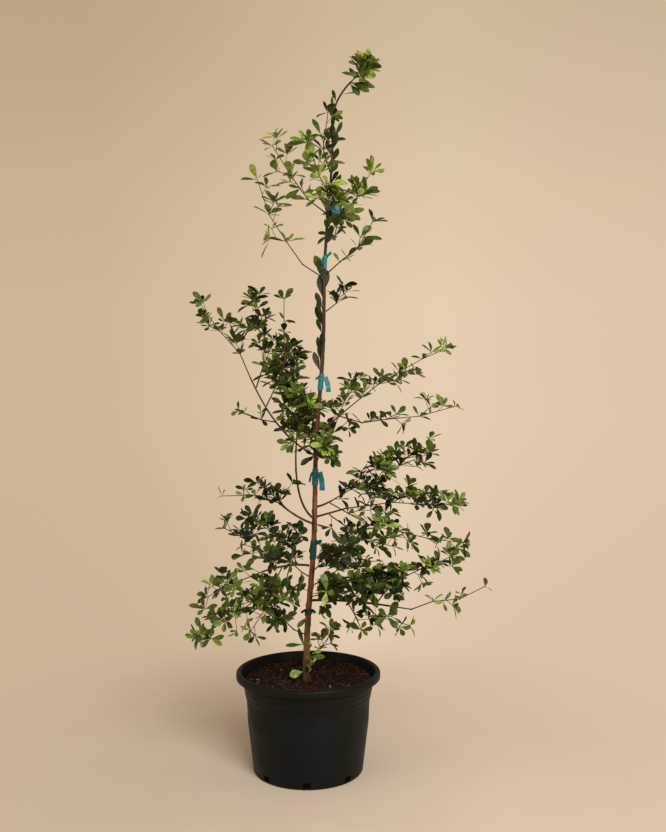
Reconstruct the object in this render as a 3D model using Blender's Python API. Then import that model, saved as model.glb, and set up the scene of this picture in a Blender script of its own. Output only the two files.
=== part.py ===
"""Potted black olive tree: a slim young tree with tiered boughs, in a round black nursery pot.

Metres, +Z up. The origin is the centre of the pot's flat underside, and the front is towards -Y.
A trunk, boughs and masses of foliage each keep a small gap to what carries them.
"""
import math
import random
from collections import namedtuple

import bmesh
import bpy
import numpy as np
from mathutils import Matrix, Vector

UP = Vector((0.0, 0.0, 1.0))
SEAT_GAP = 0.00035              # clear space between a piece and the one that carries it

# Pot: a black nursery pot of the 14 inch class
POT_HEIGHT = 0.244
POT_BASE_RADIUS = 0.1352
POT_BASE_EDGE = 0.0045          # the rounding between the base and the wall
POT_BULGE_RADIUS = 0.1490       # the wall's gentle bulge half way up
POT_BULGE_HEIGHT = 0.118
POT_SHOULDER_RADIUS = 0.1541
POT_SHOULDER_HEIGHT = 0.180
POT_STEP = 0.0018               # the small step under the shoulder
POT_NECK_RADIUS = 0.1610
POT_NECK_HEIGHT = 0.216
POT_RIM_RADIUS = 0.178
POT_LIP_HEIGHT = 0.018
POT_LIP_ROLL = 0.0065           # the rolled edge's radius
POT_LIP_CHAMFER = 0.0030
POT_LIP_STEPS = 3
POT_WALL = 0.0024
POT_FLOOR = 0.004
POT_SIDES = 36
NOTCH_COUNT = 8
NOTCH_WIDTH = 0.019
NOTCH_HEIGHT = 0.013
NOTCH_DEPTH = 0.030
NOTCH_FOOT = 0.005

# Soil
SOIL_TOP = 0.213                 # round the trunk, where the soil is lowest
SOIL_EDGE_RISE = 0.0125
SOIL_SLOPE_RADIUS = 0.110
SOIL_SLOPE_RISE = 0.010
SOIL_FLAT_RADIUS = 0.030
SOIL_GAP = 0.0006

# Trunk
TRUNK_FOOT_X = -0.006
TRUNK_FOOT = 0.210               # the height from which its lean, sway and taper are measured
TRUNK_TOP = 1.699
TRUNK_LEAN = 0.0475             # metres sideways for each metre of height
TRUNK_SWAY = 0.0028
TRUNK_SWAY_LENGTH = 0.47
TRUNK_CROOK_START = 1.600
TRUNK_CROOK = 0.043             # how far the tip leans over above the crook
TRUNK_CROOK_POWER = 2.2
TRUNK_RADIUS = 0.0078
TRUNK_TIP_RADIUS = 0.0022
TRUNK_FLARE = 0.0034
TRUNK_FLARE_HEIGHT = 0.020
FLARE_RINGS = 4
SHAFT_RINGS = 14
CROOK_RINGS = 5
TRUNK_SIDES = 8

# Boughs
BOUGH_SHARE = 0.46              # a bough's foot radius as a share of the trunk's there
BOUGH_TIP_SHARE = 0.70
BOUGH_RINGS = 6
BOUGH_SIDES = 6
BOUGH_BEND = 0.42

# Twigs
STEM_RADIUS = 0.0019
STEM_TIP_RADIUS = 0.0014
TWIG_SIDES = 3
INTERNODE = 0.068
STEM_BEND = 0.38
ZIGZAG = 0.0055
FORK_ANGLE = math.radians(56)
FORK_SPREAD = 0.5
FORK_TRIES = 5
STEM_TRIES = 14
LEVEL_LIMIT = 0.80              # a stem steeper than this puts its side twigs all round
SPIRAL_ANGLE = 2.4
LONG_TWIG = 0.052               # a side twig longer than this bears a second rosette
SHORT_STEM = 2                  # a stem of so few internodes forks both ways at its node
FORK_STEP = 0.15                # the share of an internode between the two forks of such a node
SEAT_LENGTH = 0.020             # the stretch of a stem that may lie close to its carrier
TIP_SETBACK = 0.002

# Leaves
LEAF_LENGTH = 0.043
LEAF_WIDTH_SHARE = 0.50
LEAF_WIDEST = 0.64
LEAF_THICKNESS = 0.0011
LEAF_ROOT = 0.0012
LEAF_RIDGE = 0.58               # where the leaf is thickest, as a share of its length
LEAF_TIP_DROP = 0.02            # how far its tip hangs, as a share of its length
ROOT_SPACING = 0.0026           # each leaf of a whorl stands this far behind the one before
NODE_LEAVES = 2
TIP_LEAVES = 2

# Clear space kept between growing things
LIMB_CLEARANCE = 0.0035
MASS_CLEARANCE = 0.0065
LEAF_MARGIN = 0.0034
SOIL_CLEARANCE = 0.006
RIM_CLEARANCE = 0.020

SEED = 4100

# A bough: where it leaves the trunk, and where it ends in its foliage
Bough = namedtuple("Bough", "name height tip")
BOUGHS = (
    Bough("bough_left_middle", 0.775, (-0.143, -0.015, 0.967)),
    Bough("bough_right_middle", 0.842, (0.091, 0.000, 0.884)),
    Bough("bough_front_left", 0.620, (-0.028, -0.060, 0.799)),
    Bough("bough_low_left_high", 0.606, (-0.072, -0.020, 0.658)),
    Bough("bough_low_right_high", 0.647, (0.060, -0.014, 0.664)),
    Bough("bough_low_right_middle", 0.622, (0.092, 0.036, 0.638)),
    Bough("bough_low_right_low", 0.415, (0.199, -0.050, 0.411)),
    Bough("bough_low_left_low", 0.500, (-0.115, 0.000, 0.485)),
)

# A mass of foliage: the limb that carries it, how far along that limb it starts (a height on the
# trunk, a share of a bough, or TIP), the tip of its stem, the length of its side twigs, and the
# share of its stem that is bare
TIP = -1.0
Mass = namedtuple("Mass", "name carrier start tip side_length bare")
MASSES = (
    Mass("leaves_crown_tip", "trunk", TIP, (0.134, -0.012, 1.711), 0.046, 0.0),
    Mass("leaves_leader", "trunk", 1.475, (0.049, -0.012, 1.621), 0.030, 0.1),
    Mass("leaves_upper_left", "trunk", 1.372, (-0.089, -0.020, 1.537), 0.050, 0.3),
    Mass("leaves_upper_left_inner", "trunk", 1.420, (0.000, -0.060, 1.532), 0.040, 0.2),
    Mass("leaves_upper_front", "trunk", 1.345, (0.051, -0.090, 1.425), 0.040, 0.2),
    Mass("leaves_upper_left_low", "trunk", 1.214, (-0.129, 0.015, 1.465), 0.052, 0.3),
    Mass("leaves_upper_right", "trunk", 1.352, (0.156, 0.030, 1.484), 0.034, 0.3),
    Mass("leaves_mid_upper_right", "trunk", 1.222, (0.159, -0.030, 1.348), 0.034, 0.2),
    Mass("leaves_upper_back", "trunk", 1.300, (0.093, 0.130, 1.455), 0.048, 0.2),
    Mass("leaves_trunk_right", "trunk", 1.130, (0.086, 0.000, 1.196), 0.030, 0.3),
    Mass("leaves_left_outer", "bough_left_middle", TIP, (-0.267, -0.030, 1.150), 0.052, 0.1),
    Mass("leaves_left_inner", "bough_left_middle", 0.90, (-0.134, -0.060, 1.156), 0.055, 0.1),
    Mass("leaves_left_high", "bough_left_middle", 0.72, (-0.064, 0.070, 1.173), 0.058, 0.2),
    Mass("leaves_left_low", "bough_left_middle", 0.55, (-0.165, -0.090, 0.885), 0.045, 0.2),
    Mass("leaves_left_centre", "bough_front_left", TIP, (-0.014, -0.170, 0.926), 0.070, 0.0),
    Mass("leaves_left_back", "trunk", 0.800, (-0.061, 0.210, 1.051), 0.070, 0.2),
    Mass("leaves_mid_back", "trunk", 0.780, (0.113, 0.240, 0.970), 0.070, 0.2),
    Mass("leaves_front_centre", "trunk", 0.750, (0.045, -0.150, 0.804), 0.045, 0.1),
    Mass("leaves_right_high", "bough_right_middle", TIP, (0.353, 0.050, 1.044), 0.060, 0.1),
    Mass("leaves_right_low", "bough_right_middle", 0.80, (0.355, -0.080, 0.895), 0.058, 0.1),
    Mass("leaves_low_right_high", "bough_low_right_high", TIP, (0.297, -0.040, 0.781), 0.058, 0.0),
    Mass("leaves_low_right_upper", "bough_low_right_middle", TIP, (0.381, 0.070, 0.644), 0.060, 0.1),
    Mass("leaves_low_right_outer", "bough_low_right_high", 0.80, (0.375, -0.070, 0.567), 0.066, 0.1),
    Mass("leaves_low_right_dense", "bough_low_right_middle", 0.45, (0.215, 0.050, 0.540), 0.075, 0.0),
    Mass("leaves_low_right_inner", "bough_low_right_low", 0.48, (0.205, -0.140, 0.470), 0.072, 0.1),
    Mass("leaves_low_right_far", "bough_low_right_low", 0.85, (0.364, 0.040, 0.518), 0.055, 0.2),
    Mass("leaves_low_right_under", "bough_low_right_low", 0.50, (0.132, -0.030, 0.346), 0.040, 0.2),
    Mass("leaves_low_right_bottom", "bough_low_right_low", 0.70, (0.245, -0.100, 0.375), 0.060, 0.0),
    Mass("leaves_right_bare", "bough_low_right_low", TIP, (0.440, 0.000, 0.450), 0.040, 0.5),
    Mass("leaves_low_front_right", "trunk", 0.488, (0.094, -0.250, 0.588), 0.066, 0.2),
    Mass("leaves_low_front", "trunk", 0.425, (0.061, -0.220, 0.479), 0.064, 0.2),
    Mass("leaves_low_back_right", "trunk", 0.450, (0.150, 0.270, 0.470), 0.070, 0.3),
    Mass("leaves_low_back_left", "trunk", 0.470, (-0.114, 0.260, 0.494), 0.070, 0.3),
    Mass("leaves_low_left_high", "bough_low_left_high", 0.80, (-0.105, -0.070, 0.701), 0.045, 0.0),
    Mass("leaves_left_thin", "bough_low_left_high", TIP, (-0.218, 0.010, 0.672), 0.042, 0.2),
    Mass("leaves_low_left_inner", "bough_low_left_low", 0.30, (-0.123, -0.080, 0.632), 0.060, 0.1),
    Mass("leaves_low_left_middle", "bough_low_left_low", 0.80, (-0.220, 0.090, 0.582), 0.058, 0.1),
    Mass("leaves_low_left_dense", "trunk", 0.330, (-0.100, -0.190, 0.482), 0.070, 0.3),
    Mass("leaves_low_left_outer", "bough_low_left_low", TIP, (-0.253, -0.020, 0.424), 0.056, 0.0),
    Mass("leaves_bottom_left", "bough_low_left_low", 0.62, (-0.260, -0.110, 0.353), 0.050, 0.2),
    Mass("leaves_drooping_left", "bough_low_left_low", 0.45, (-0.132, -0.130, 0.368), 0.050, 0.2),
    Mass("leaves_base_right", "trunk", 0.262, (0.066, 0.080, 0.326), 0.034, 0.2),
    Mass("leaves_base_front", "trunk", 0.240, (0.012, -0.045, 0.298), 0.024, 0.2),
)

# Ties: bands of tape wound on the trunk
Tie = namedtuple("Tie", "name height length")
TIES = (
    Tie("tie_1", 0.385, 0.012),
    Tie("tie_2", 0.540, 0.045),
    Tie("tie_3", 0.720, 0.036),
    Tie("tie_4", 0.955, 0.036),
    Tie("tie_5", 1.252, 0.030),
    Tie("tie_6", 1.394, 0.024),
)
TIE_WALL = 0.0016
TIE_SIDES = 6

# Colour, roughness of each finish
FINISHES = {
    "pot_plastic": ((0.012, 0.011, 0.009), 0.45),
    "soil_mulch": ((0.020, 0.010, 0.006), 0.95),
    "trunk_bark": ((0.130, 0.060, 0.030), 0.85),
    "bough_bark": ((0.100, 0.055, 0.030), 0.85),
    "leaf_green": ((0.055, 0.085, 0.020), 0.55),
    "tie_tape": ((0.010, 0.210, 0.230), 0.40),
}


def clear_scene():
    for item in list(bpy.data.objects):
        bpy.data.objects.remove(item, do_unlink=True)


def finish(name):
    """The named material, made on first use."""
    material = bpy.data.materials.get(name)
    if material is None:
        colour, roughness = FINISHES[name]
        material = bpy.data.materials.new(name)
        material.use_nodes = True
        shader = material.node_tree.nodes["Principled BSDF"]
        shader.inputs["Base Color"].default_value = (*colour, 1.0)
        shader.inputs["Roughness"].default_value = roughness
        shader.inputs["Metallic"].default_value = 0.0
    return material


def add_object(name, bm, finish_name, crease=None):
    """A named object from a bmesh, with its faces turned outwards."""
    bmesh.ops.recalc_face_normals(bm, faces=bm.faces)
    mesh = bpy.data.meshes.new(name)
    bm.to_mesh(mesh)
    bm.free()
    mesh.materials.append(finish(finish_name))
    if crease is not None:
        mesh.shade_smooth()
        mesh.set_sharp_from_angle(angle=crease)
    item = bpy.data.objects.new(name, mesh)
    bpy.context.scene.collection.objects.link(item)
    return item


def turned(profile, sides):
    """A solid of revolution from (radius, height) points that start and end on the axis."""
    bm = bmesh.new()
    verts = [bm.verts.new((radius, 0.0, height)) for radius, height in profile]
    for lower, upper in zip(verts, verts[1:]):
        bm.edges.new((lower, upper))
    bmesh.ops.spin(bm, geom=bm.verts[:] + bm.edges[:], cent=(0, 0, 0), axis=UP,
                   angle=math.tau, steps=sides, use_merge=True)
    bmesh.ops.remove_doubles(bm, verts=bm.verts, dist=0.00001)
    return bm


def pot_outside():
    """Radius and height of the pot's wall, from the base's edge to the neck under the lip."""
    return [
        (POT_BASE_RADIUS - POT_BASE_EDGE, 0.0),
        (POT_BASE_RADIUS, POT_BASE_EDGE),
        (POT_BULGE_RADIUS, POT_BULGE_HEIGHT),
        (POT_SHOULDER_RADIUS - POT_STEP, POT_SHOULDER_HEIGHT - POT_STEP),
        (POT_SHOULDER_RADIUS, POT_SHOULDER_HEIGHT),
        (POT_NECK_RADIUS, POT_NECK_HEIGHT),
    ]


def pot_lip():
    """The lip's outline: a chamfered foot, an upright face and a rolled top."""
    foot = POT_HEIGHT - POT_LIP_HEIGHT
    lip = [
        (POT_NECK_RADIUS, foot),
        (POT_RIM_RADIUS - POT_LIP_CHAMFER, foot),
        (POT_RIM_RADIUS, foot + POT_LIP_CHAMFER),
    ]
    for step in range(POT_LIP_STEPS + 1):
        angle = math.pi * step / POT_LIP_STEPS
        lip.append((POT_RIM_RADIUS - POT_LIP_ROLL + POT_LIP_ROLL * math.cos(angle),
                    POT_HEIGHT - POT_LIP_ROLL + POT_LIP_ROLL * math.sin(angle)))
    return lip


def pot_inside():
    """Radius and height of the wall's inner side, from the floor up."""
    return [
        (POT_BASE_RADIUS - POT_WALL, POT_FLOOR),
        (POT_BULGE_RADIUS - POT_WALL, POT_BULGE_HEIGHT),
        (POT_SHOULDER_RADIUS - POT_WALL, POT_SHOULDER_HEIGHT),
        (POT_NECK_RADIUS - POT_WALL, POT_NECK_HEIGHT),
    ]


def make_pot():
    """The pot with its rolled lip and a drain notch in the foot of the wall every 45 degrees."""
    profile = [(0.0, 0.0)] + pot_outside() + pot_lip() + pot_inside()[::-1] + [(0.0, POT_FLOOR)]
    pot = add_object("pot", turned(profile, POT_SIDES), "pot_plastic", math.radians(35))
    bm = bmesh.new()
    for index in range(NOTCH_COUNT):
        box = bmesh.ops.create_cube(bm, size=1.0)["verts"]
        bmesh.ops.scale(bm, vec=(NOTCH_DEPTH, NOTCH_WIDTH, NOTCH_HEIGHT), verts=box)
        bmesh.ops.translate(bm, vec=(POT_BASE_RADIUS, 0, NOTCH_FOOT + NOTCH_HEIGHT / 2), verts=box)
        turn = Matrix.Rotation(index * math.tau / NOTCH_COUNT, 3, "Z")
        bmesh.ops.rotate(bm, cent=(0, 0, 0), matrix=turn, verts=box)
    cutter = add_object("notch_cutter", bm, "pot_plastic")
    cut = pot.modifiers.new("Drain notches", "BOOLEAN")
    cut.operation = "DIFFERENCE"
    cut.object = cutter
    apply_modifiers(pot)
    bpy.data.objects.remove(cutter, do_unlink=True)


def make_soil():
    """The potting mix: it fills the pot, dished round the trunk and higher at the wall."""
    foot, bulge, shoulder, neck = [(radius - SOIL_GAP, height) for radius, height in pot_inside()]
    edge_height = SOIL_TOP + SOIL_EDGE_RISE
    rise = (edge_height - shoulder[1]) / (neck[1] - shoulder[1])
    edge_radius = shoulder[0] + (neck[0] - shoulder[0]) * rise
    profile = [
        (0.0, POT_FLOOR + SOIL_GAP),
        (foot[0], POT_FLOOR + SOIL_GAP),
        bulge,
        shoulder,
        (edge_radius, edge_height),
        (SOIL_SLOPE_RADIUS, SOIL_TOP + SOIL_SLOPE_RISE),
        (SOIL_FLAT_RADIUS, SOIL_TOP),
        (0.0, SOIL_TOP),
    ]
    add_object("soil", turned(profile, POT_SIDES), "soil_mulch", math.radians(40))


def apply_modifiers(item):
    """Replace an object's mesh by what its modifiers make of it."""
    depsgraph = bpy.context.evaluated_depsgraph_get()
    mesh = bpy.data.meshes.new_from_object(item.evaluated_get(depsgraph))
    item.modifiers.clear()
    item.data = mesh


def trunk_centre(height):
    rise = height - TRUNK_FOOT
    wave = math.tau * rise / TRUNK_SWAY_LENGTH
    crook = max(0.0, (height - TRUNK_CROOK_START) / (TRUNK_TOP - TRUNK_CROOK_START))
    x = TRUNK_FOOT_X + TRUNK_LEAN * rise - TRUNK_SWAY * math.sin(wave)
    x += TRUNK_CROOK * crook ** TRUNK_CROOK_POWER
    y = TRUNK_SWAY * math.sin(wave * 0.8)
    return Vector((x, y, height))


def trunk_radius(height):
    share = (height - TRUNK_FOOT) / (TRUNK_TOP - TRUNK_FOOT)
    flare = TRUNK_FLARE * math.exp(-(height - SOIL_TOP) / TRUNK_FLARE_HEIGHT)
    return TRUNK_RADIUS + (TRUNK_TIP_RADIUS - TRUNK_RADIUS) * share + flare


class Limb:
    """The centre line of a limb or twig, its radius at each point, and the plane that it starts on."""

    def __init__(self, points, radii, seat_normal=None):
        self.points = points
        self.radii = radii
        self.seat_normal = seat_normal

    def heading(self, index):
        """The direction of the centre line at a point."""
        before = self.points[max(index - 1, 0)]
        after = self.points[min(index + 1, len(self.points) - 1)]
        return (after - before).normalized()

    def at(self, share):
        """Centre, radius and direction at a share of the way along."""
        place = min(max(share, 0.0), 1.0) * (len(self.points) - 1)
        index = min(int(place), len(self.points) - 2)
        part = place - index
        centre = self.points[index].lerp(self.points[index + 1], part)
        radius = self.radii[index] * (1 - part) + self.radii[index + 1] * part
        return centre, radius, (self.points[index + 1] - self.points[index]).normalized()

    def share_at_height(self, height):
        """How far along a rising limb a height is."""
        heights = [point.z for point in self.points]
        return np.interp(height, heights, range(len(heights))) / (len(heights) - 1)


def trunk_heights():
    """The heights of the trunk's rings, closest at the root flare and in the crook."""
    foot = SOIL_TOP + SEAT_GAP
    flare_top = foot + TRUNK_FLARE_HEIGHT * 2
    heights = [foot + (flare_top - foot) * (index / FLARE_RINGS) ** 1.5 for index in range(FLARE_RINGS)]
    shaft = TRUNK_CROOK_START - flare_top
    heights += [flare_top + shaft * index / SHAFT_RINGS for index in range(SHAFT_RINGS)]
    crook = TRUNK_TOP - TRUNK_CROOK_START
    heights += [TRUNK_CROOK_START + crook * index / CROOK_RINGS for index in range(CROOK_RINGS + 1)]
    return heights


def grow_trunk():
    heights = trunk_heights()
    points = [trunk_centre(height) for height in heights]
    return Limb(points, [trunk_radius(height) for height in heights], UP)


def seat_on(carrier, share, toward):
    """Where a limb meets its carrier: the point, the plane's normal and the direction it sets off in."""
    if share == TIP:
        centre, radius, along = carrier.at(1.0)
        return centre + along * SEAT_GAP, along, along
    centre, radius, along = carrier.at(share)
    chord = (toward - centre).normalized()
    out = (chord - along * chord.dot(along)).normalized()
    heading = (out * 0.85 + chord * 0.45 + UP * 0.20).normalized()
    return centre + out * (radius + SEAT_GAP), out, heading


def arc(start, heading, tip, bend, count):
    """Points on one smooth curve that leaves along heading and ends at tip."""
    elbow = start + heading * (tip - start).length * bend
    points = []
    for index in range(count + 1):
        t = index / count
        points.append(start * (1 - t) ** 2 + elbow * 2 * t * (1 - t) + tip * t * t)
    return points


def grow_bough(trunk, bough):
    """One tapering bough from the trunk's side to its tip."""
    tip = Vector(bough.tip)
    start, normal, heading = seat_on(trunk, trunk.share_at_height(bough.height), tip)
    points = arc(start, heading, tip, BOUGH_BEND, BOUGH_RINGS)
    foot_radius = trunk_radius(bough.height) * BOUGH_SHARE
    tip_radius = foot_radius * BOUGH_TIP_SHARE
    taper = (tip_radius - foot_radius) / BOUGH_RINGS
    return Limb(points, [foot_radius + taper * index for index in range(BOUGH_RINGS + 1)], normal)


class Crowd:
    """Every limb and twig grown so far, as short straight pieces with a radius and an owner."""

    def __init__(self):
        self.starts = np.empty((0, 3))
        self.ends = np.empty((0, 3))
        self.radii = np.empty(0)
        self.owners = np.empty(0, dtype=int)

    def add(self, limb, owner):
        points = np.array([tuple(point) for point in limb.points])
        self.starts = np.vstack((self.starts, points[:-1]))
        self.ends = np.vstack((self.ends, points[1:]))
        self.radii = np.append(self.radii, limb.radii[:-1])
        self.owners = np.append(self.owners, [owner] * (len(points) - 1))

    def gaps(self, points):
        """The clear space from each point to each straight piece."""
        spots = np.array([tuple(point) for point in points])[:, None, :]
        along = (self.ends - self.starts)[None]
        offset = spots - self.starts[None]
        share = np.clip((offset * along).sum(2) / (along * along).sum(2), 0.0, 1.0)
        return np.linalg.norm(offset - along * share[..., None], axis=2) - self.radii[None]


LIMBS = 0                       # the owner number of the trunk and boughs; masses count from 1


def samples_along(points, step=0.006):
    """Points every few millimetres along a line, with their distance from its start."""
    spots = []
    travelled = 0.0
    for first, last in zip(points, points[1:]):
        length = (last - first).length
        count = max(1, round(length / step))
        for index in range(count):
            spots.append((first.lerp(last, index / count), travelled + length * index / count))
        travelled += length
    spots.append((points[-1], travelled))
    return spots


def cross_axes(direction):
    """Two directions square to a direction, the first one level."""
    level = direction.cross(UP)
    if level.length < 0.05:
        level = Vector((1.0, 0.0, 0.0))
    level.normalize()
    return level, level.cross(direction).normalized()


def clear_share(crowd, owner, points, free_length):
    """The least clear space of a line, less what it needs; above 0 it is clear of everything."""
    spots = samples_along(points)
    gaps = crowd.gaps([spot for spot, travelled in spots])
    least = 1.0
    for row, (spot, travelled) in zip(gaps, spots):
        other = row[crowd.owners != owner]
        limbs = row[crowd.owners == LIMBS]
        if travelled < free_length:
            continue
        least = min(least, other.min() - MASS_CLEARANCE, limbs.min() - LIMB_CLEARANCE)
    return least


def grow_stem(crowd, owner, mass, limbs, rng):
    """A mass's stem, in zigzag internodes from its seat to its tip; the clearest of a few tries."""
    carrier = limbs[mass.carrier]
    share = mass.start
    if mass.carrier == "trunk" and mass.start != TIP:
        share = carrier.share_at_height(mass.start)
    tip = Vector(mass.tip)
    start, normal, heading = seat_on(carrier, share, tip)
    count = max(2, round((tip - start).length / INTERNODE))
    level, rise = cross_axes((tip - start).normalized())
    best = None
    for attempt in range(STEM_TRIES):
        points = arc(start, heading, tip, STEM_BEND, count)
        phase = rng.uniform(0, math.tau)
        for index in range(1, count):
            angle = phase + index * (math.pi + rng.uniform(-0.5, 0.5))
            aside = level * math.cos(angle) + rise * math.sin(angle)
            points[index] += aside * ZIGZAG * rng.uniform(0.6, 1.2)
        clear = clear_share(crowd, owner, points, SEAT_LENGTH)
        if best is None or clear > best[0]:
            best = (clear, points)
        if clear > 0:
            break
    points = best[1]
    foot = min(STEM_RADIUS, carrier.radii[-1] if share == TIP else STEM_RADIUS)
    radii = [foot + (STEM_TIP_RADIUS - foot) * index / count for index in range(count + 1)]
    return Limb(points, radii, normal)


def grow_side_twig(crowd, owner, stem, index, fork, side_length, rng):
    """One of the side twigs that fork off the stem at a node, or nothing where there is no room."""
    count = len(stem.points) - 1
    along = stem.heading(index)
    level, rise = cross_axes(along)
    length = side_length * (1.0 - 0.40 * index / count) * rng.uniform(0.80, 1.20)
    steep = abs(along.z) > LEVEL_LIMIT
    turn = (index + fork) * SPIRAL_ANGLE if steep else ((index + fork) % 2) * math.pi
    start = stem.points[index].lerp(stem.points[index + 1], FORK_STEP * fork)
    for attempt in range(FORK_TRIES):
        angle = turn + rng.uniform(-FORK_SPREAD, FORK_SPREAD) * (1 + attempt * 0.5)
        aside = level * math.cos(angle) + rise * math.sin(angle)
        first = along * math.cos(FORK_ANGLE) + aside * math.sin(FORK_ANGLE) + UP * rng.uniform(0.0, 0.25)
        kink = (first.normalized() + along * 0.35 + level * rng.uniform(-0.25, 0.25)).normalized()
        middle = start + first.normalized() * length * 0.5
        points = [start, middle, middle + kink * length * 0.5]
        if length < LONG_TWIG:
            points = [start, points[-1]]
        if clear_share(crowd, owner, points, 0.0) > 0:
            return Limb(points, [STEM_TIP_RADIUS] * len(points))
    return None


Rosette = namedtuple("Rosette", "place along at_tip")


def grow_skeleton(crowd, owner, mass, stem, rng):
    """A mass's side twigs, and the places where its leaves stand."""
    twigs = []
    rosettes = []
    count = len(stem.points) - 1
    first_leafy = max(1, math.ceil(mass.bare * count))
    for index in range(first_leafy, count):
        rosettes.append(Rosette(stem.points[index], stem.heading(index), False))
        for fork in range(2 if count == SHORT_STEM else 1):
            twig = grow_side_twig(crowd, owner, stem, index, fork, mass.side_length, rng)
            if twig is None:
                continue
            crowd.add(twig, owner)
            twigs.append(twig)
            if len(twig.points) > 2:
                rosettes.append(Rosette(twig.points[1], twig.heading(1), False))
            rosettes.append(tip_rosette(twig))
    rosettes.append(tip_rosette(stem))
    return twigs, rosettes


def tip_rosette(limb):
    along = limb.heading(len(limb.points) - 1)
    return Rosette(limb.points[-1] - along * TIP_SETBACK, along, True)


Leaf = namedtuple("Leaf", "root along across top length width")


def rosette_leaves(rosette, count, rng):
    """The leaves of one whorl, spread round an axis that leans upwards."""
    if rosette.at_tip:
        axis = (rosette.along + UP * 0.45).normalized()
    else:
        axis = (rosette.along * 0.45 + UP).normalized()
    level, rise = cross_axes(axis)
    phase = rng.uniform(0, math.tau)
    leaves = []
    for index in range(count):
        angle = phase + index * math.tau / count + rng.uniform(-0.3, 0.3)
        lift = rng.uniform(0.35, 0.80) if rosette.at_tip else rng.uniform(0.15, 0.55)
        along = (level * math.cos(angle) + rise * math.sin(angle) + axis * lift).normalized()
        across = axis.cross(along).normalized()
        length = LEAF_LENGTH * rng.uniform(0.78, 1.15)
        root = rosette.place - rosette.along * ROOT_SPACING * index
        leaves.append(Leaf(root, along, across, along.cross(across), length, length * LEAF_WIDTH_SHARE))
    return leaves


def leaf_point(leaf, share, side, lift):
    """A point of a leaf, from shares of its length and half width and a lift off its plane."""
    across = leaf.across * leaf.width * 0.5 * side
    return leaf.root + leaf.along * leaf.length * share + across + leaf.top * lift


def leaf_has_room(crowd, owner, leaf):
    """Whether a leaf keeps to its own mass's space, off the limbs and out of the soil."""
    shares = ((0.35, 0), (0.5, 0.8), (0.5, -0.8), (LEAF_WIDEST, 1), (LEAF_WIDEST, -1),
              (0.85, 0.6), (0.85, -0.6), (0.85, 0), (1.0, 0))
    spots = [leaf_point(leaf, share, side, 0.0) for share, side in shares]
    for spot in spots:
        reach = math.hypot(spot.x, spot.y)
        if spot.z < SOIL_TOP + SOIL_CLEARANCE:
            return False
        if spot.z < POT_HEIGHT + SOIL_CLEARANCE and reach > POT_NECK_RADIUS - RIM_CLEARANCE:
            return False
    gaps = crowd.gaps(spots)
    if gaps[:, crowd.owners == LIMBS].min() < LIMB_CLEARANCE:
        return False
    own = gaps[:, crowd.owners == owner].min(axis=1)
    others = gaps[:, (crowd.owners != owner) & (crowd.owners != LIMBS)].min(axis=1)
    return bool((others - own).min() > LEAF_MARGIN)


def sweep(limb, sides):
    """A closed tapering tube along a limb; its first ring lies in the plane that it starts on."""
    bm = bmesh.new()
    ring = bmesh.ops.create_circle(bm, cap_ends=True, segments=sides, radius=1.0)["verts"]
    order = sorted(ring, key=lambda vert: math.atan2(vert.co.y, vert.co.x))
    cap = bm.faces[:][0]
    side = cross_axes(limb.heading(0))[0]
    for index, (point, radius) in enumerate(zip(limb.points, limb.radii)):
        heading = limb.heading(index)
        if index > 0:
            grown = bmesh.ops.extrude_face_region(bm, geom=[cap])["geom"]
            fresh = {item for item in grown if isinstance(item, bmesh.types.BMVert)}
            order = [next(edge.other_vert(old) for edge in old.link_edges if edge.other_vert(old) in fresh)
                     for old in order]
            if index > 1:
                bmesh.ops.delete(bm, geom=[cap], context="FACES_ONLY")
            cap = next(item for item in grown if isinstance(item, bmesh.types.BMFace))
        side = (side - heading * side.dot(heading)).normalized()
        rise = heading.cross(side)
        for corner, vert in enumerate(order):
            angle = corner * math.tau / sides
            vert.co = point + (side * math.cos(angle) + rise * math.sin(angle)) * radius
            if index == 0 and limb.seat_normal is not None:
                slide = (point - vert.co).dot(limb.seat_normal) / heading.dot(limb.seat_normal)
                vert.co += heading * slide
    return bm


def leaf_solid(leaf):
    """A leaf of 8 faces: an upright root inside the twig, two wide corners, a ridge and a tip."""
    bm = bmesh.new()
    corners = (
        (0.0, 0, LEAF_ROOT / 2),
        (0.0, 0, -LEAF_ROOT / 2),
        (LEAF_WIDEST, 1, 0.0),
        (LEAF_WIDEST, -1, 0.0),
        (LEAF_RIDGE, 0, LEAF_THICKNESS),
        (1.0, 0, -leaf.length * LEAF_TIP_DROP),
    )
    for share, side, lift in corners:
        bm.verts.new(leaf_point(leaf, share, side, lift))
    bmesh.ops.convex_hull(bm, input=bm.verts[:])
    return bm


def fuse(name, stem, twigs, leaves):
    """One closed solid from a stem, its side twigs and its leaves."""
    leaves = list(leaves)
    while True:
        body = union(name, [sweep(stem, TWIG_SIDES)] + [sweep(twig, TWIG_SIDES) for twig in twigs]
                     + [leaf_solid(leaf) for leaf in leaves])
        keep_largest_shell(body.data)
        fault = open_edge(body.data)
        if fault is None:
            return
        leaves.remove(min(leaves, key=lambda leaf: leaf_distance(leaf, fault)))
        bpy.data.objects.remove(body, do_unlink=True)


def leaf_distance(leaf, spot):
    """How far a spot is from a leaf's midrib."""
    along = min(max((spot - leaf.root).dot(leaf.along), 0.0), leaf.length)
    return (leaf.root + leaf.along * along - spot).length


def open_edge(mesh):
    """The middle of an edge that doesn't join exactly two faces, or None where the mesh is closed."""
    bm = bmesh.new()
    bm.from_mesh(mesh)
    middles = [(edge.verts[0].co + edge.verts[1].co) / 2 for edge in bm.edges if not edge.is_manifold]
    bm.free()
    return middles[0] if middles else None


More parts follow.
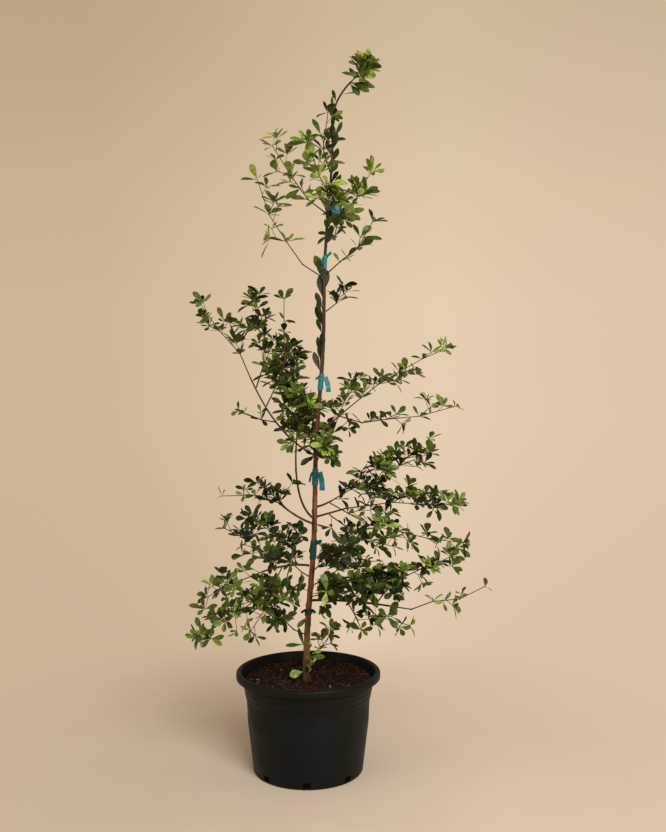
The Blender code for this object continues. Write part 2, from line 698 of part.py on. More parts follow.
def union(name, solids):
    """One object from overlapping solids, by a union of the first with a collection of the rest."""
    body = add_object(name, solids[0], "leaf_green")
    pieces = bpy.data.collections.new(name + "_pieces")
    bpy.context.scene.collection.children.link(pieces)
    for bm in solids[1:]:
        piece = add_object("piece", bm, "leaf_green")
        bpy.context.scene.collection.objects.unlink(piece)
        pieces.objects.link(piece)
    join = body.modifiers.new("Union", "BOOLEAN")
    join.operation = "UNION"
    join.solver = "MANIFOLD"
    join.operand_type = "COLLECTION"
    join.collection = pieces
    apply_modifiers(body)
    for piece in list(pieces.objects):
        bpy.data.objects.remove(piece, do_unlink=True)
    bpy.data.collections.remove(pieces)
    return body


def keep_largest_shell(mesh):
    """Fill sealed hollows and drop loose scraps: only the outer shell of the largest body stays."""
    bm = bmesh.new()
    bm.from_mesh(mesh)
    unseen = set(bm.verts)
    shells = []
    while unseen:
        shell = set()
        edge_of_shell = [next(iter(unseen))]
        while edge_of_shell:
            vert = edge_of_shell.pop()
            if vert in shell:
                continue
            shell.add(vert)
            edge_of_shell.extend(edge.other_vert(vert) for edge in vert.link_edges)
        unseen -= shell
        shells.append(shell)
    shells.sort(key=len)
    for shell in shells[:-1]:
        bmesh.ops.delete(bm, geom=list(shell), context="VERTS")
    bmesh.ops.triangulate(bm, faces=bm.faces)
    bm.to_mesh(mesh)
    bm.free()


def make_tie(tie, trunk):
    """A band of tape wound on the trunk, as a sleeve that follows it with a small gap."""
    rings = []
    for share in (-0.5, 0.0, 0.5):
        middle, radius, along = trunk.at(trunk.share_at_height(tie.height + tie.length * share))
        inner = (radius + SEAT_GAP) / math.cos(math.pi / TIE_SIDES)
        rings.append((middle, inner))
    side, rise = cross_axes((rings[-1][0] - rings[0][0]).normalized())
    profile = rings + [(middle, inner + TIE_WALL) for middle, inner in reversed(rings)]
    bm = bmesh.new()
    loops = []
    for middle, radius in profile:
        loop = []
        for corner in range(TIE_SIDES):
            angle = corner * math.tau / TIE_SIDES
            loop.append(bm.verts.new(middle + (side * math.cos(angle) + rise * math.sin(angle)) * radius))
        loops.append(loop)
    for first, second in zip(loops, loops[1:] + loops[:1]):
        for corner in range(TIE_SIDES):
            after = (corner + 1) % TIE_SIDES
            bm.faces.new((first[corner], first[after], second[after], second[corner]))
    add_object(tie.name, bm, "tie_tape", math.radians(40))


def grow_tree():
    """The trunk, boughs and masses, each mass grown into the room that the others leave."""
    limbs = {"trunk": grow_trunk()}
    for bough in BOUGHS:
        limbs[bough.name] = grow_bough(limbs["trunk"], bough)
    crowd = Crowd()
    for limb in limbs.values():
        crowd.add(limb, LIMBS)
    for tie in TIES:
        ends = [trunk_centre(tie.height - tie.length / 2), trunk_centre(tie.height + tie.length / 2)]
        radius = (trunk_radius(tie.height) + SEAT_GAP) / math.cos(math.pi / TIE_SIDES) + TIE_WALL
        crowd.add(Limb(ends, [radius, radius]), LIMBS)

    stems = []
    for number, mass in enumerate(MASSES, start=1):
        stem = grow_stem(crowd, number, mass, limbs, random.Random(SEED + number))
        crowd.add(stem, number)
        stems.append(stem)
    skeletons = []
    for number, (mass, stem) in enumerate(zip(MASSES, stems), start=1):
        skeletons.append(grow_skeleton(crowd, number, mass, stem, random.Random(SEED * 2 + number)))
    foliage = []
    for number, (twigs, rosettes) in enumerate(skeletons, start=1):
        rng = random.Random(SEED * 3 + number)
        leaves = []
        for rosette in rosettes:
            count = TIP_LEAVES if rosette.at_tip else NODE_LEAVES
            for leaf in rosette_leaves(rosette, count, rng):
                if leaf_has_room(crowd, number, leaf):
                    leaves.append(leaf)
        foliage.append(leaves)
    return limbs, stems, skeletons, foliage


def main():
    clear_scene()
    make_pot()
    make_soil()
    limbs, stems, skeletons, foliage = grow_tree()
    add_object("trunk", sweep(limbs["trunk"], TRUNK_SIDES), "trunk_bark", math.radians(60))
    for bough in BOUGHS:
        add_object(bough.name, sweep(limbs[bough.name], BOUGH_SIDES), "bough_bark", math.radians(70))
    for tie in TIES:
        make_tie(tie, limbs["trunk"])
    for mass, stem, (twigs, rosettes), leaves in zip(MASSES, stems, skeletons, foliage):
        fuse(mass.name, stem, twigs, leaves)


main()
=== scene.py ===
"""Potted black olive tree: the looks of a slim young tree with tiered boughs in a black nursery pot."""
import math
import random
from collections import namedtuple

import bmesh
import bpy
import numpy as np
from bpy.props import FloatProperty, FloatVectorProperty, IntProperty, PointerProperty
from mathutils import Matrix, Vector, noise


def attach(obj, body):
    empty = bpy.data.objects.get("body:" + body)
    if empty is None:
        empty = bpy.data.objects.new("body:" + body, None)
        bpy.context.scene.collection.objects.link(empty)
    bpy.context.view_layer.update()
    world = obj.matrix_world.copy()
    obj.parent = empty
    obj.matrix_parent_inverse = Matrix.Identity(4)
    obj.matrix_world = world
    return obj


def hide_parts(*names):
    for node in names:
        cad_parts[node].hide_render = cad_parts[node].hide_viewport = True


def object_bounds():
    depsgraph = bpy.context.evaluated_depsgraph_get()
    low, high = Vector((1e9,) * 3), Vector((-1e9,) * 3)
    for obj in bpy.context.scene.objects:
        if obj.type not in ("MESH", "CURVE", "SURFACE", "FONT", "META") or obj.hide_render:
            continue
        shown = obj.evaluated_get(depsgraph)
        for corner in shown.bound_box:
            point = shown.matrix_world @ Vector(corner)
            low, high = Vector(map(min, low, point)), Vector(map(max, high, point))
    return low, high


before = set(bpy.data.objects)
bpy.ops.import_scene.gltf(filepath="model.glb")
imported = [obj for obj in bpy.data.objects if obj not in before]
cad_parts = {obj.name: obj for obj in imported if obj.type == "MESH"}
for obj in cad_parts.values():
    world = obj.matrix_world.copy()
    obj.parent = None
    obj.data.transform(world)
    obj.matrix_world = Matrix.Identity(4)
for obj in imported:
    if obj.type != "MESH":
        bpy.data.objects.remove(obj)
CAD_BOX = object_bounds()

bl_info = {
    "name": "Potted black olive tree",
    "version": (1, 0, 0),
    "blender": (4, 5, 0),
    "location": "View3D > Sidebar > Olive tree",
    "description": "Dresses a young black olive tree in its nursery pot",
    "category": "Object",
}

UP = Vector((0.0, 0.0, 1.0))
SEAT_GAP = 0.00035              # clear space between a piece and the one that carries it

# Pot and soil, by the same sizes as the solids
POT_HEIGHT = 0.244
POT_BASE_RADIUS = 0.1352
POT_BASE_EDGE = 0.0045          # the rounding between the base and the wall
POT_BULGE_RADIUS = 0.1490       # the wall's gentle bulge half way up
POT_BULGE_HEIGHT = 0.118
POT_SHOULDER_RADIUS = 0.1541
POT_SHOULDER_HEIGHT = 0.180
POT_STEP = 0.0018               # the small step under the shoulder
POT_NECK_RADIUS = 0.1610
POT_NECK_HEIGHT = 0.216
POT_RIM_RADIUS = 0.178
POT_LIP_HEIGHT = 0.018
POT_LIP_ROLL = 0.0065           # the rolled edge's radius
POT_LIP_CHAMFER = 0.0030
POT_WALL = 0.0024
POT_FLOOR = 0.004
NOTCH_COUNT = 8
NOTCH_WIDTH = 0.019
NOTCH_HEIGHT = 0.013
NOTCH_DEPTH = 0.030
NOTCH_FOOT = 0.005
SOIL_TOP = 0.213                 # round the trunk, where the soil is lowest
SOIL_EDGE_RISE = 0.0125
SOIL_FLAT_RADIUS = 0.030
SOIL_GAP = 0.0006

# Trunk, boughs and twigs, by the same sizes and rules as the solids
TRUNK_FOOT_X = -0.006
TRUNK_FOOT = 0.210               # the height from which its lean, sway and taper are measured
TRUNK_TOP = 1.699
TRUNK_LEAN = 0.0475             # metres sideways for each metre of height
TRUNK_SWAY = 0.0028
TRUNK_SWAY_LENGTH = 0.47
TRUNK_CROOK_START = 1.600
TRUNK_CROOK = 0.043             # how far the tip leans over above the crook
TRUNK_CROOK_POWER = 2.2
TRUNK_RADIUS = 0.0078
TRUNK_TIP_RADIUS = 0.0022
TRUNK_FLARE = 0.0034
TRUNK_FLARE_HEIGHT = 0.020
FLARE_RINGS = 4
SHAFT_RINGS = 14
CROOK_RINGS = 5
BOUGH_SHARE = 0.46              # a bough's foot radius as a share of the trunk's there
BOUGH_TIP_SHARE = 0.70
BOUGH_RINGS = 6
BOUGH_BEND = 0.42
STEM_RADIUS = 0.0019
STEM_TIP_RADIUS = 0.0014
INTERNODE = 0.068
STEM_BEND = 0.38
ZIGZAG = 0.0055
FORK_ANGLE = math.radians(56)
FORK_SPREAD = 0.5
FORK_TRIES = 5
STEM_TRIES = 14
LEVEL_LIMIT = 0.80              # a stem steeper than this puts its side twigs all round
SPIRAL_ANGLE = 2.4
LONG_TWIG = 0.052               # a side twig longer than this bears a second rosette
SHORT_STEM = 2                  # a stem of so few internodes forks both ways at its node
FORK_STEP = 0.15                # the share of an internode between the two forks of such a node
SEAT_LENGTH = 0.020             # the stretch of a stem that may lie close to its carrier
TIP_SETBACK = 0.002

# Clear space kept between growing things
LIMB_CLEARANCE = 0.0035
MASS_CLEARANCE = 0.0065
SOIL_CLEARANCE = 0.006
RIM_CLEARANCE = 0.020

SEED = 4100

# A bough: where it leaves the trunk, and where it ends in its foliage
Bough = namedtuple("Bough", "name height tip")
BOUGHS = (
    Bough("bough_left_middle", 0.775, (-0.143, -0.015, 0.967)),
    Bough("bough_right_middle", 0.842, (0.091, 0.000, 0.884)),
    Bough("bough_front_left", 0.620, (-0.028, -0.060, 0.799)),
    Bough("bough_low_left_high", 0.606, (-0.072, -0.020, 0.658)),
    Bough("bough_low_right_high", 0.647, (0.060, -0.014, 0.664)),
    Bough("bough_low_right_middle", 0.622, (0.092, 0.036, 0.638)),
    Bough("bough_low_right_low", 0.415, (0.199, -0.050, 0.411)),
    Bough("bough_low_left_low", 0.500, (-0.115, 0.000, 0.485)),
)

# A mass of foliage: the limb that carries it, how far along that limb it starts (a height on the
# trunk, a share of a bough, or TIP), the tip of its stem, the length of its side twigs, and the
# share of its stem that is bare
TIP = -1.0
Mass = namedtuple("Mass", "name carrier start tip side_length bare")
MASSES = (
    Mass("leaves_crown_tip", "trunk", TIP, (0.134, -0.012, 1.711), 0.046, 0.0),
    Mass("leaves_leader", "trunk", 1.475, (0.049, -0.012, 1.621), 0.030, 0.1),
    Mass("leaves_upper_left", "trunk", 1.372, (-0.089, -0.020, 1.537), 0.050, 0.3),
    Mass("leaves_upper_left_inner", "trunk", 1.420, (0.000, -0.060, 1.532), 0.040, 0.2),
    Mass("leaves_upper_front", "trunk", 1.345, (0.051, -0.090, 1.425), 0.040, 0.2),
    Mass("leaves_upper_left_low", "trunk", 1.214, (-0.129, 0.015, 1.465), 0.052, 0.3),
    Mass("leaves_upper_right", "trunk", 1.352, (0.156, 0.030, 1.484), 0.034, 0.3),
    Mass("leaves_mid_upper_right", "trunk", 1.222, (0.159, -0.030, 1.348), 0.034, 0.2),
    Mass("leaves_upper_back", "trunk", 1.300, (0.093, 0.130, 1.455), 0.048, 0.2),
    Mass("leaves_trunk_right", "trunk", 1.130, (0.086, 0.000, 1.196), 0.030, 0.3),
    Mass("leaves_left_outer", "bough_left_middle", TIP, (-0.267, -0.030, 1.150), 0.052, 0.1),
    Mass("leaves_left_inner", "bough_left_middle", 0.90, (-0.134, -0.060, 1.156), 0.055, 0.1),
    Mass("leaves_left_high", "bough_left_middle", 0.72, (-0.064, 0.070, 1.173), 0.058, 0.2),
    Mass("leaves_left_low", "bough_left_middle", 0.55, (-0.165, -0.090, 0.885), 0.045, 0.2),
    Mass("leaves_left_centre", "bough_front_left", TIP, (-0.014, -0.170, 0.926), 0.070, 0.0),
    Mass("leaves_left_back", "trunk", 0.800, (-0.061, 0.210, 1.051), 0.070, 0.2),
    Mass("leaves_mid_back", "trunk", 0.780, (0.113, 0.240, 0.970), 0.070, 0.2),
    Mass("leaves_front_centre", "trunk", 0.750, (0.045, -0.150, 0.804), 0.045, 0.1),
    Mass("leaves_right_high", "bough_right_middle", TIP, (0.353, 0.050, 1.044), 0.060, 0.1),
    Mass("leaves_right_low", "bough_right_middle", 0.80, (0.355, -0.080, 0.895), 0.058, 0.1),
    Mass("leaves_low_right_high", "bough_low_right_high", TIP, (0.297, -0.040, 0.781), 0.058, 0.0),
    Mass("leaves_low_right_upper", "bough_low_right_middle", TIP, (0.381, 0.070, 0.644), 0.060, 0.1),
    Mass("leaves_low_right_outer", "bough_low_right_high", 0.80, (0.375, -0.070, 0.567), 0.066, 0.1),
    Mass("leaves_low_right_dense", "bough_low_right_middle", 0.45, (0.215, 0.050, 0.540), 0.075, 0.0),
    Mass("leaves_low_right_inner", "bough_low_right_low", 0.48, (0.205, -0.140, 0.470), 0.072, 0.1),
    Mass("leaves_low_right_far", "bough_low_right_low", 0.85, (0.364, 0.040, 0.518), 0.055, 0.2),
    Mass("leaves_low_right_under", "bough_low_right_low", 0.50, (0.132, -0.030, 0.346), 0.040, 0.2),
    Mass("leaves_low_right_bottom", "bough_low_right_low", 0.70, (0.245, -0.100, 0.375), 0.060, 0.0),
    Mass("leaves_right_bare", "bough_low_right_low", TIP, (0.440, 0.000, 0.450), 0.040, 0.5),
    Mass("leaves_low_front_right", "trunk", 0.488, (0.094, -0.250, 0.588), 0.066, 0.2),
    Mass("leaves_low_front", "trunk", 0.425, (0.061, -0.220, 0.479), 0.064, 0.2),
    Mass("leaves_low_back_right", "trunk", 0.450, (0.150, 0.270, 0.470), 0.070, 0.3),
    Mass("leaves_low_back_left", "trunk", 0.470, (-0.114, 0.260, 0.494), 0.070, 0.3),
    Mass("leaves_low_left_high", "bough_low_left_high", 0.80, (-0.105, -0.070, 0.701), 0.045, 0.0),
    Mass("leaves_left_thin", "bough_low_left_high", TIP, (-0.218, 0.010, 0.672), 0.042, 0.2),
    Mass("leaves_low_left_inner", "bough_low_left_low", 0.30, (-0.123, -0.080, 0.632), 0.060, 0.1),
    Mass("leaves_low_left_middle", "bough_low_left_low", 0.80, (-0.220, 0.090, 0.582), 0.058, 0.1),
    Mass("leaves_low_left_dense", "trunk", 0.330, (-0.100, -0.190, 0.482), 0.070, 0.3),
    Mass("leaves_low_left_outer", "bough_low_left_low", TIP, (-0.253, -0.020, 0.424), 0.056, 0.0),
    Mass("leaves_bottom_left", "bough_low_left_low", 0.62, (-0.260, -0.110, 0.353), 0.050, 0.2),
    Mass("leaves_drooping_left", "bough_low_left_low", 0.45, (-0.132, -0.130, 0.368), 0.050, 0.2),
    Mass("leaves_base_right", "trunk", 0.262, (0.066, 0.080, 0.326), 0.034, 0.2),
    Mass("leaves_base_front", "trunk", 0.240, (0.012, -0.045, 0.298), 0.024, 0.2),
)

# Ties: bands of tape wound on the trunk
Tie = namedtuple("Tie", "name height length")
TIES = (
    Tie("tie_1", 0.385, 0.012),
    Tie("tie_2", 0.540, 0.045),
    Tie("tie_3", 0.720, 0.036),
    Tie("tie_4", 0.955, 0.036),
    Tie("tie_5", 1.252, 0.030),
    Tie("tie_6", 1.394, 0.024),
)
TIE_WALL = 0.0016
TIE_SIDES = 6

# The photo's camera, fitted to the pot: place in metres and lens in millimetres
CAMERA_PLACE = (0.061, -2.1766, 0.8712)
CAMERA_LENS = 38.0

# How full a mass is: the finer shoots along its twigs and the leaves in its whorls, 1.0 where not named
FULLNESS = {
    "leaves_crown_tip": 1.80,
    "leaves_leader": 0.20,
    "leaves_upper_left": 0.45,
    "leaves_upper_left_inner": 0.90,
    "leaves_upper_front": 1.35,
    "leaves_upper_left_low": 0.50,
    "leaves_upper_right": 0.75,
    "leaves_mid_upper_right": 0.15,
    "leaves_trunk_right": 0.25,
    "leaves_left_outer": 0.65,
    "leaves_left_inner": 1.20,
    "leaves_left_high": 0.10,
    "leaves_left_low": 0.05,
    "leaves_left_centre": 1.20,
    "leaves_mid_back": 0.80,
    "leaves_right_high": 0.36,
    "leaves_right_low": 0.22,
    "leaves_low_right_high": 1.30,
    "leaves_low_right_upper": 1.05,
    "leaves_low_right_outer": 0.45,
    "leaves_low_right_dense": 0.85,
    "leaves_low_right_inner": 2.60,
    "leaves_low_right_far": 1.10,
    "leaves_low_right_under": 0.30,
    "leaves_low_right_bottom": 0.22,
    "leaves_right_bare": 0.12,
    "leaves_low_front_right": 1.00,
    "leaves_low_front": 2.40,
    "leaves_low_back_right": 0.60,
    "leaves_low_left_high": 1.15,
    "leaves_left_thin": 0.12,
    "leaves_low_left_inner": 1.20,
    "leaves_low_left_middle": 0.60,
    "leaves_low_left_dense": 1.40,
    "leaves_low_left_outer": 0.90,
    "leaves_bottom_left": 1.30,
    "leaves_base_front": 0.00,
    "leaves_base_right": 0.95,
    "leaves_upper_back": 1.00,
    "leaves_low_back_left": 0.75,
    "leaves_drooping_left": 0.75,
    "leaves_front_centre": 1.70,
    "leaves_left_back": 2.20,
}

# How much lighter than the rest a mass's leaves are: partly younger leaves, partly painted light on the lit outer and
# upper masses, and painted shade, below 0, on masses deep in the crown
MASS_PAINTED_LIGHT_AND_AGE = {
    "leaves_crown_tip": 0.44,
    "leaves_upper_left": 0.45,
    "leaves_upper_left_inner": 0.40,
    "leaves_upper_front": 0.36,
    "leaves_upper_left_low": 0.46,
    "leaves_upper_right": 0.55,
    "leaves_mid_upper_right": 0.30,
    "leaves_left_centre": 0.01,
    "leaves_left_high": -0.04,
    "leaves_bottom_left": 0.13,
    "leaves_low_left_outer": 0.00,
    "leaves_low_left_dense": -0.08,
    "leaves_low_right_outer": -0.02,
    "leaves_low_left_inner": -0.28,
    "leaves_low_left_high": -0.30,
    "leaves_low_right_inner": -0.12,
    "leaves_low_right_dense": -0.16,
    "leaves_low_right_under": -0.10,
    "leaves_low_front_right": -0.22,
    "leaves_base_front": 0.60,
    "leaves_base_right": 0.34,
    "leaves_upper_back": 0.15,
    "leaves_left_outer": -0.14,
    "leaves_trunk_right": -0.12,
    "leaves_left_inner": -0.10,
    "leaves_front_centre": 0.05,
    "leaves_low_right_far": 0.10,
    "leaves_left_thin": 0.20,
    "leaves_drooping_left": -0.12,
    "leaves_low_right_bottom": 0.15,
    "leaves_mid_back": 0.08,
    "leaves_left_back": -0.05,
    "leaves_low_front": -0.18,
    "leaves_low_back_left": -0.12,
    "leaves_low_back_right": -0.06,
}


class OliveSizes(bpy.types.PropertyGroup):
    """Sizes of the fine surface."""

    leaf_length: FloatProperty(name="Leaf length", description="Length of a grown leaf",
                               default=0.039, min=0.01, unit="LENGTH")
    leaf_width: FloatProperty(name="Leaf width", description="Widest part of a leaf as a share of its length",
                              default=0.41, min=0.1, subtype="FACTOR")
    leaf_thickness: FloatProperty(name="Leaf thickness", description="Thickness of a leaf at its midrib",
                                  default=0.0005, unit="LENGTH")
    node_leaves: IntProperty(name="Leaves at a node", description="Leaves of a whorl along a twig", default=6)
    tip_leaves: IntProperty(name="Leaves at a tip", description="Leaves of a whorl at a twig's tip", default=7)
    shoot_length: FloatProperty(name="Shoot length", description="Length of the finest shoots",
                                default=0.030, unit="LENGTH")
    bark_relief: FloatProperty(name="Bark relief", description="Depth of the bark's ridges as a share of the radius",
                               default=0.10, subtype="FACTOR")
    chips: IntProperty(name="Mulch chips", description="Number of loose chips on the soil", default=3200)


class OliveColours(bpy.types.PropertyGroup):
    """Base colours, linear."""

    # The leaf greens are lit and shaded copies of one leaf besides its age: deep is partly painted shade, light partly
    # painted light, young the new leaves' own yellow green
    leaf_deep: FloatVectorProperty(name="Deep leaf", description="Shaded old leaves", subtype="COLOR",
                                   default=(0.0172, 0.0296, 0.0034))
    leaf_mid: FloatVectorProperty(name="Mid leaf", description="Grown leaves", subtype="COLOR",
                                  default=(0.0565, 0.0885, 0.0100))
    leaf_light: FloatVectorProperty(name="Light leaf", description="Lit, younger leaves", subtype="COLOR",
                                    default=(0.1240, 0.1830, 0.0250))
    leaf_young: FloatVectorProperty(name="Young leaf", description="Yellow green new leaves", subtype="COLOR",
                                    default=(0.2500, 0.3300, 0.0600))
    # Bark towards the foot: the trunk is darker from the soil, blending into the low bark by about 6 cm above it
    bark_foot: FloatVectorProperty(name="Bark at the foot", description="Bark stained by the soil", subtype="COLOR",
                                   default=(0.024, 0.011, 0.006))
    bark_low: FloatVectorProperty(name="Low bark", description="Orange brown bark near the foot", subtype="COLOR",
                                  default=(0.135, 0.056, 0.022))
    bark_high: FloatVectorProperty(name="High bark", description="Dark young bark", subtype="COLOR",
                                   default=(0.040, 0.020, 0.014))
    twig: FloatVectorProperty(name="Twig", description="Thin dark twigs", subtype="COLOR",
                              default=(0.050, 0.032, 0.016))
    pot: FloatVectorProperty(name="Pot", description="Black moulded plastic", subtype="COLOR",
                             default=(0.0058, 0.0064, 0.0056))
    soil: FloatVectorProperty(name="Soil", description="Dark potting mix", subtype="COLOR",
                              default=(0.0085, 0.0036, 0.0018))
    tape: FloatVectorProperty(name="Tape", description="Teal tie tape", subtype="COLOR",
                              default=(0.006, 0.190, 0.215))
    # Painted shade: the tie tape darkened for the low ties in the crown's shade
    tape_dark: FloatVectorProperty(name="Shaded tape", description="Weathered tape low on the trunk", subtype="COLOR",
                                   default=(0.008, 0.058, 0.058))
    # Partly a bluer tape, partly painted light on the top tie
    tape_light: FloatVectorProperty(name="Sunlit tape", description="Bluer tape near the top", subtype="COLOR",
                                    default=(0.030, 0.250, 0.420))
    backdrop: FloatVectorProperty(name="Backdrop", description="Warm pale room", subtype="COLOR",
                                  default=(0.701, 0.539, 0.386))
    floor: FloatVectorProperty(name="Floor", description="Pale floor under the plant", subtype="COLOR",
                               default=(0.67, 0.59, 0.50))


def sizes():
    return bpy.context.scene.olive_sizes


def colours():
    return bpy.context.scene.olive_colours


def new_material(name, roughness, specular=0.5):
    """A material with its shader, ready for more nodes."""
    material = bpy.data.materials.new(name)
    material.use_nodes = True
    shader = material.node_tree.nodes["Principled BSDF"]
    shader.inputs["Roughness"].default_value = roughness
    shader.inputs["Specular IOR Level"].default_value = specular
    return material, material.node_tree, shader


def noise_node(tree, scale, detail=4.0, stretch=(1.0, 1.0, 1.0), roughness=0.55):
    """Noise on object coordinates, with its pattern stretched by axis."""
    place = tree.nodes.new("ShaderNodeTexCoord")
    mapping = tree.nodes.new("ShaderNodeMapping")
    mapping.inputs["Scale"].default_value = stretch
    texture = tree.nodes.new("ShaderNodeTexNoise")
    texture.inputs["Scale"].default_value = scale
    texture.inputs["Detail"].default_value = detail
    texture.inputs["Roughness"].default_value = roughness
    tree.links.new(place.outputs["Object"], mapping.inputs["Vector"])
    tree.links.new(mapping.outputs["Vector"], texture.inputs["Vector"])
    return texture.outputs["Fac"]


def axis_share(tree, axis, low, high):
    """0 below one place on an axis, 1 above another, and an even change between them."""
    place = tree.nodes.new("ShaderNodeTexCoord")
    axes = tree.nodes.new("ShaderNodeSeparateXYZ")
    span = tree.nodes.new("ShaderNodeMapRange")
    span.inputs["From Min"].default_value = low
    span.inputs["From Max"].default_value = high
    tree.links.new(place.outputs["Object"], axes.inputs["Vector"])
    tree.links.new(axes.outputs[axis], span.inputs["Value"])
    return span.outputs["Result"]


def mix_colours(tree, factor, first, second):
    """One colour turning to another by a factor."""
    node = tree.nodes.new("ShaderNodeMix")
    node.data_type = "RGBA"
    tree.links.new(factor, node.inputs["Factor"])
    tree.links.new(first, node.inputs[6])
    tree.links.new(second, node.inputs[7])
    return node.outputs[2]


def ramp(tree, factor, stops):
    """A colour ramp over a factor from (position, colour) stops."""
    node = tree.nodes.new("ShaderNodeValToRGB")
    elements = node.color_ramp.elements
    while len(elements) < len(stops):
        elements.new(0.5)
    for element, (position, colour) in zip(elements, stops):
        element.position = position
        element.color = (*colour, 1.0)
    tree.links.new(factor, node.inputs["Fac"])
    return node.outputs["Color"]


def add_bump(tree, shader, height, strength, distance):
    node = tree.nodes.new("ShaderNodeBump")
    node.inputs["Strength"].default_value = strength
    node.inputs["Distance"].default_value = distance
    tree.links.new(height, node.inputs["Height"])
    tree.links.new(node.outputs["Normal"], shader.inputs["Normal"])


def shade(colour, factor):
    return tuple(min(1.0, channel * factor) for channel in colour)


def leaf_material(name, colour):
    """A leathery leaf: a little mottling in its colour, and a fine uneven surface."""
    material, tree, shader = new_material(name, 0.45, 0.20)
    mottle = noise_node(tree, 95.0, 5.0)
    stops = ((0.32, shade(colour, 0.45)), (0.50, colour), (0.70, shade(colour, 1.60)))
    tree.links.new(ramp(tree, mottle, stops), shader.inputs["Base Color"])
    add_bump(tree, shader, noise_node(tree, 420.0, 2.0), 0.25, 0.0004)
    return material


def bark_stops(colour, fleck):
    """Dark fissures, the bark's own colour, lighter ridges and pale flecks; the same grain makes the relief, so the
    dark fissures are partly painted shade in its hollows and the lighter ridges partly a painted highlight on its
    raised bark.
    """
    return ((0.34, shade(colour, 0.18)), (0.47, colour), (0.59, shade(colour, 2.0)), (0.72, fleck))


def trunk_material():
    """Orange brown streaked bark near the foot that turns dark and smooth higher up."""
    material, tree, shader = new_material("trunk_bark", 0.80, 0.25)
    fissures = noise_node(tree, 170.0, 8.0, (1.0, 1.0, 0.07), 0.68)
    low = ramp(tree, fissures, bark_stops(tuple(colours().bark_low), (0.38, 0.22, 0.12)))
    high = ramp(tree, fissures, bark_stops(tuple(colours().bark_high), (0.14, 0.09, 0.06)))
    foot = ramp(tree, fissures, bark_stops(tuple(colours().bark_foot), (0.10, 0.055, 0.03)))
    # darker towards the foot, just above the soil
    low = mix_colours(tree, axis_share(tree, "Z", 0.215, 0.275), foot, low)
    colour = mix_colours(tree, axis_share(tree, "Z", 0.45, 1.05), low, high)
    tree.links.new(colour, shader.inputs["Base Color"])
    add_bump(tree, shader, fissures, 0.7, 0.0012)
    return material


def bark_material(name, colour, stretch):
    """Young bark: fine fissures and lighter ridges, partly painted shade and painted highlight on the relief."""
    material, tree, shader = new_material(name, 0.78, 0.25)
    fissures = noise_node(tree, 240.0, 8.0, stretch, 0.68)
    tree.links.new(ramp(tree, fissures, bark_stops(colour, (0.16, 0.11, 0.07))), shader.inputs["Base Color"])
    add_bump(tree, shader, fissures, 0.6, 0.0010)
    return material


def pot_material():
    """Moulded black plastic: nearly smooth, with soft scuffs and a fine grain."""
    material, tree, shader = new_material("pot_plastic", 0.50, 0.12)
    colour = tuple(colours().pot)
    scuffs = noise_node(tree, 9.0, 8.0, (1.0, 1.0, 0.35), 0.62)
    stops = ((0.35, shade(colour, 0.85)), (0.60, shade(colour, 1.15)), (0.82, shade(colour, 2.2)))
    tree.links.new(ramp(tree, scuffs, stops), shader.inputs["Base Color"])
    gloss = ramp(tree, noise_node(tree, 24.0, 6.0), ((0.3, (0.40,) * 3), (0.75, (0.60,) * 3)))
    tree.links.new(gloss, shader.inputs["Roughness"])
    add_bump(tree, shader, noise_node(tree, 900.0, 2.0), 0.12, 0.0003)
    return material


def soil_material():
    material, tree, shader = new_material("soil_mix", 0.95, 0.08)
    colour = tuple(colours().soil)
    stops = ((0.30, shade(colour, 0.40)), (0.50, colour), (0.66, shade(colour, 2.4)), (0.80, (0.085, 0.034, 0.018)))
    tree.links.new(ramp(tree, noise_node(tree, 240.0, 8.0, roughness=0.7), stops), shader.inputs["Base Color"])
    add_bump(tree, shader, noise_node(tree, 300.0, 8.0), 0.9, 0.003)
    return material


def chip_material(name, colour):
    material, tree, shader = new_material(name, 0.88, 0.2)
    grain = noise_node(tree, 320.0, 5.0)
    # colour and relief follow one grain: the chips' own uneven tone, partly painted shade in the hollows and partly a
    # painted highlight on the raised grain
    stops = ((0.30, shade(colour, 0.45)), (0.55, colour), (0.80, shade(colour, 1.6)))
    tree.links.new(ramp(tree, grain, stops), shader.inputs["Base Color"])
    add_bump(tree, shader, grain, 0.5, 0.001)
    return material


def tape_material(name, colour):
    """Stretched plastic tape with creases across it: painted shade in the creases and a painted highlight on their
    ridges, as the colour follows the relief.
    """
    material, tree, shader = new_material(name, 0.40, 0.4)
    creases = noise_node(tree, 150.0, 4.0, (1.0, 1.0, 3.0))
    # painted shade in the hollows of the creases and a painted highlight on their ridges
    stops = ((0.30, shade(colour, 0.50)), (0.55, colour), (0.80, shade(colour, 1.5)))
    tree.links.new(ramp(tree, creases, stops), shader.inputs["Base Color"])
    add_bump(tree, shader, creases, 0.5, 0.001)
    return material


def link_mesh(name, mesh, replaced=()):
    """Show a finished mesh as a piece of the plant."""
    piece = bpy.data.objects.new(name, mesh)
    bpy.context.scene.collection.objects.link(piece)
    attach(piece, "root")
    if replaced:
        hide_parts(*replaced)
    return piece


def piece_from_bmesh(name, bm, material, replaced=(), crease=None):
    bmesh.ops.recalc_face_normals(bm, faces=bm.faces)
    mesh = bpy.data.meshes.new(name)
    bm.to_mesh(mesh)
    bm.free()
    mesh.materials.append(material)
    mesh.shade_smooth()
    if crease is not None:
        mesh.set_sharp_from_angle(angle=crease)
    return link_mesh(name, mesh, replaced)


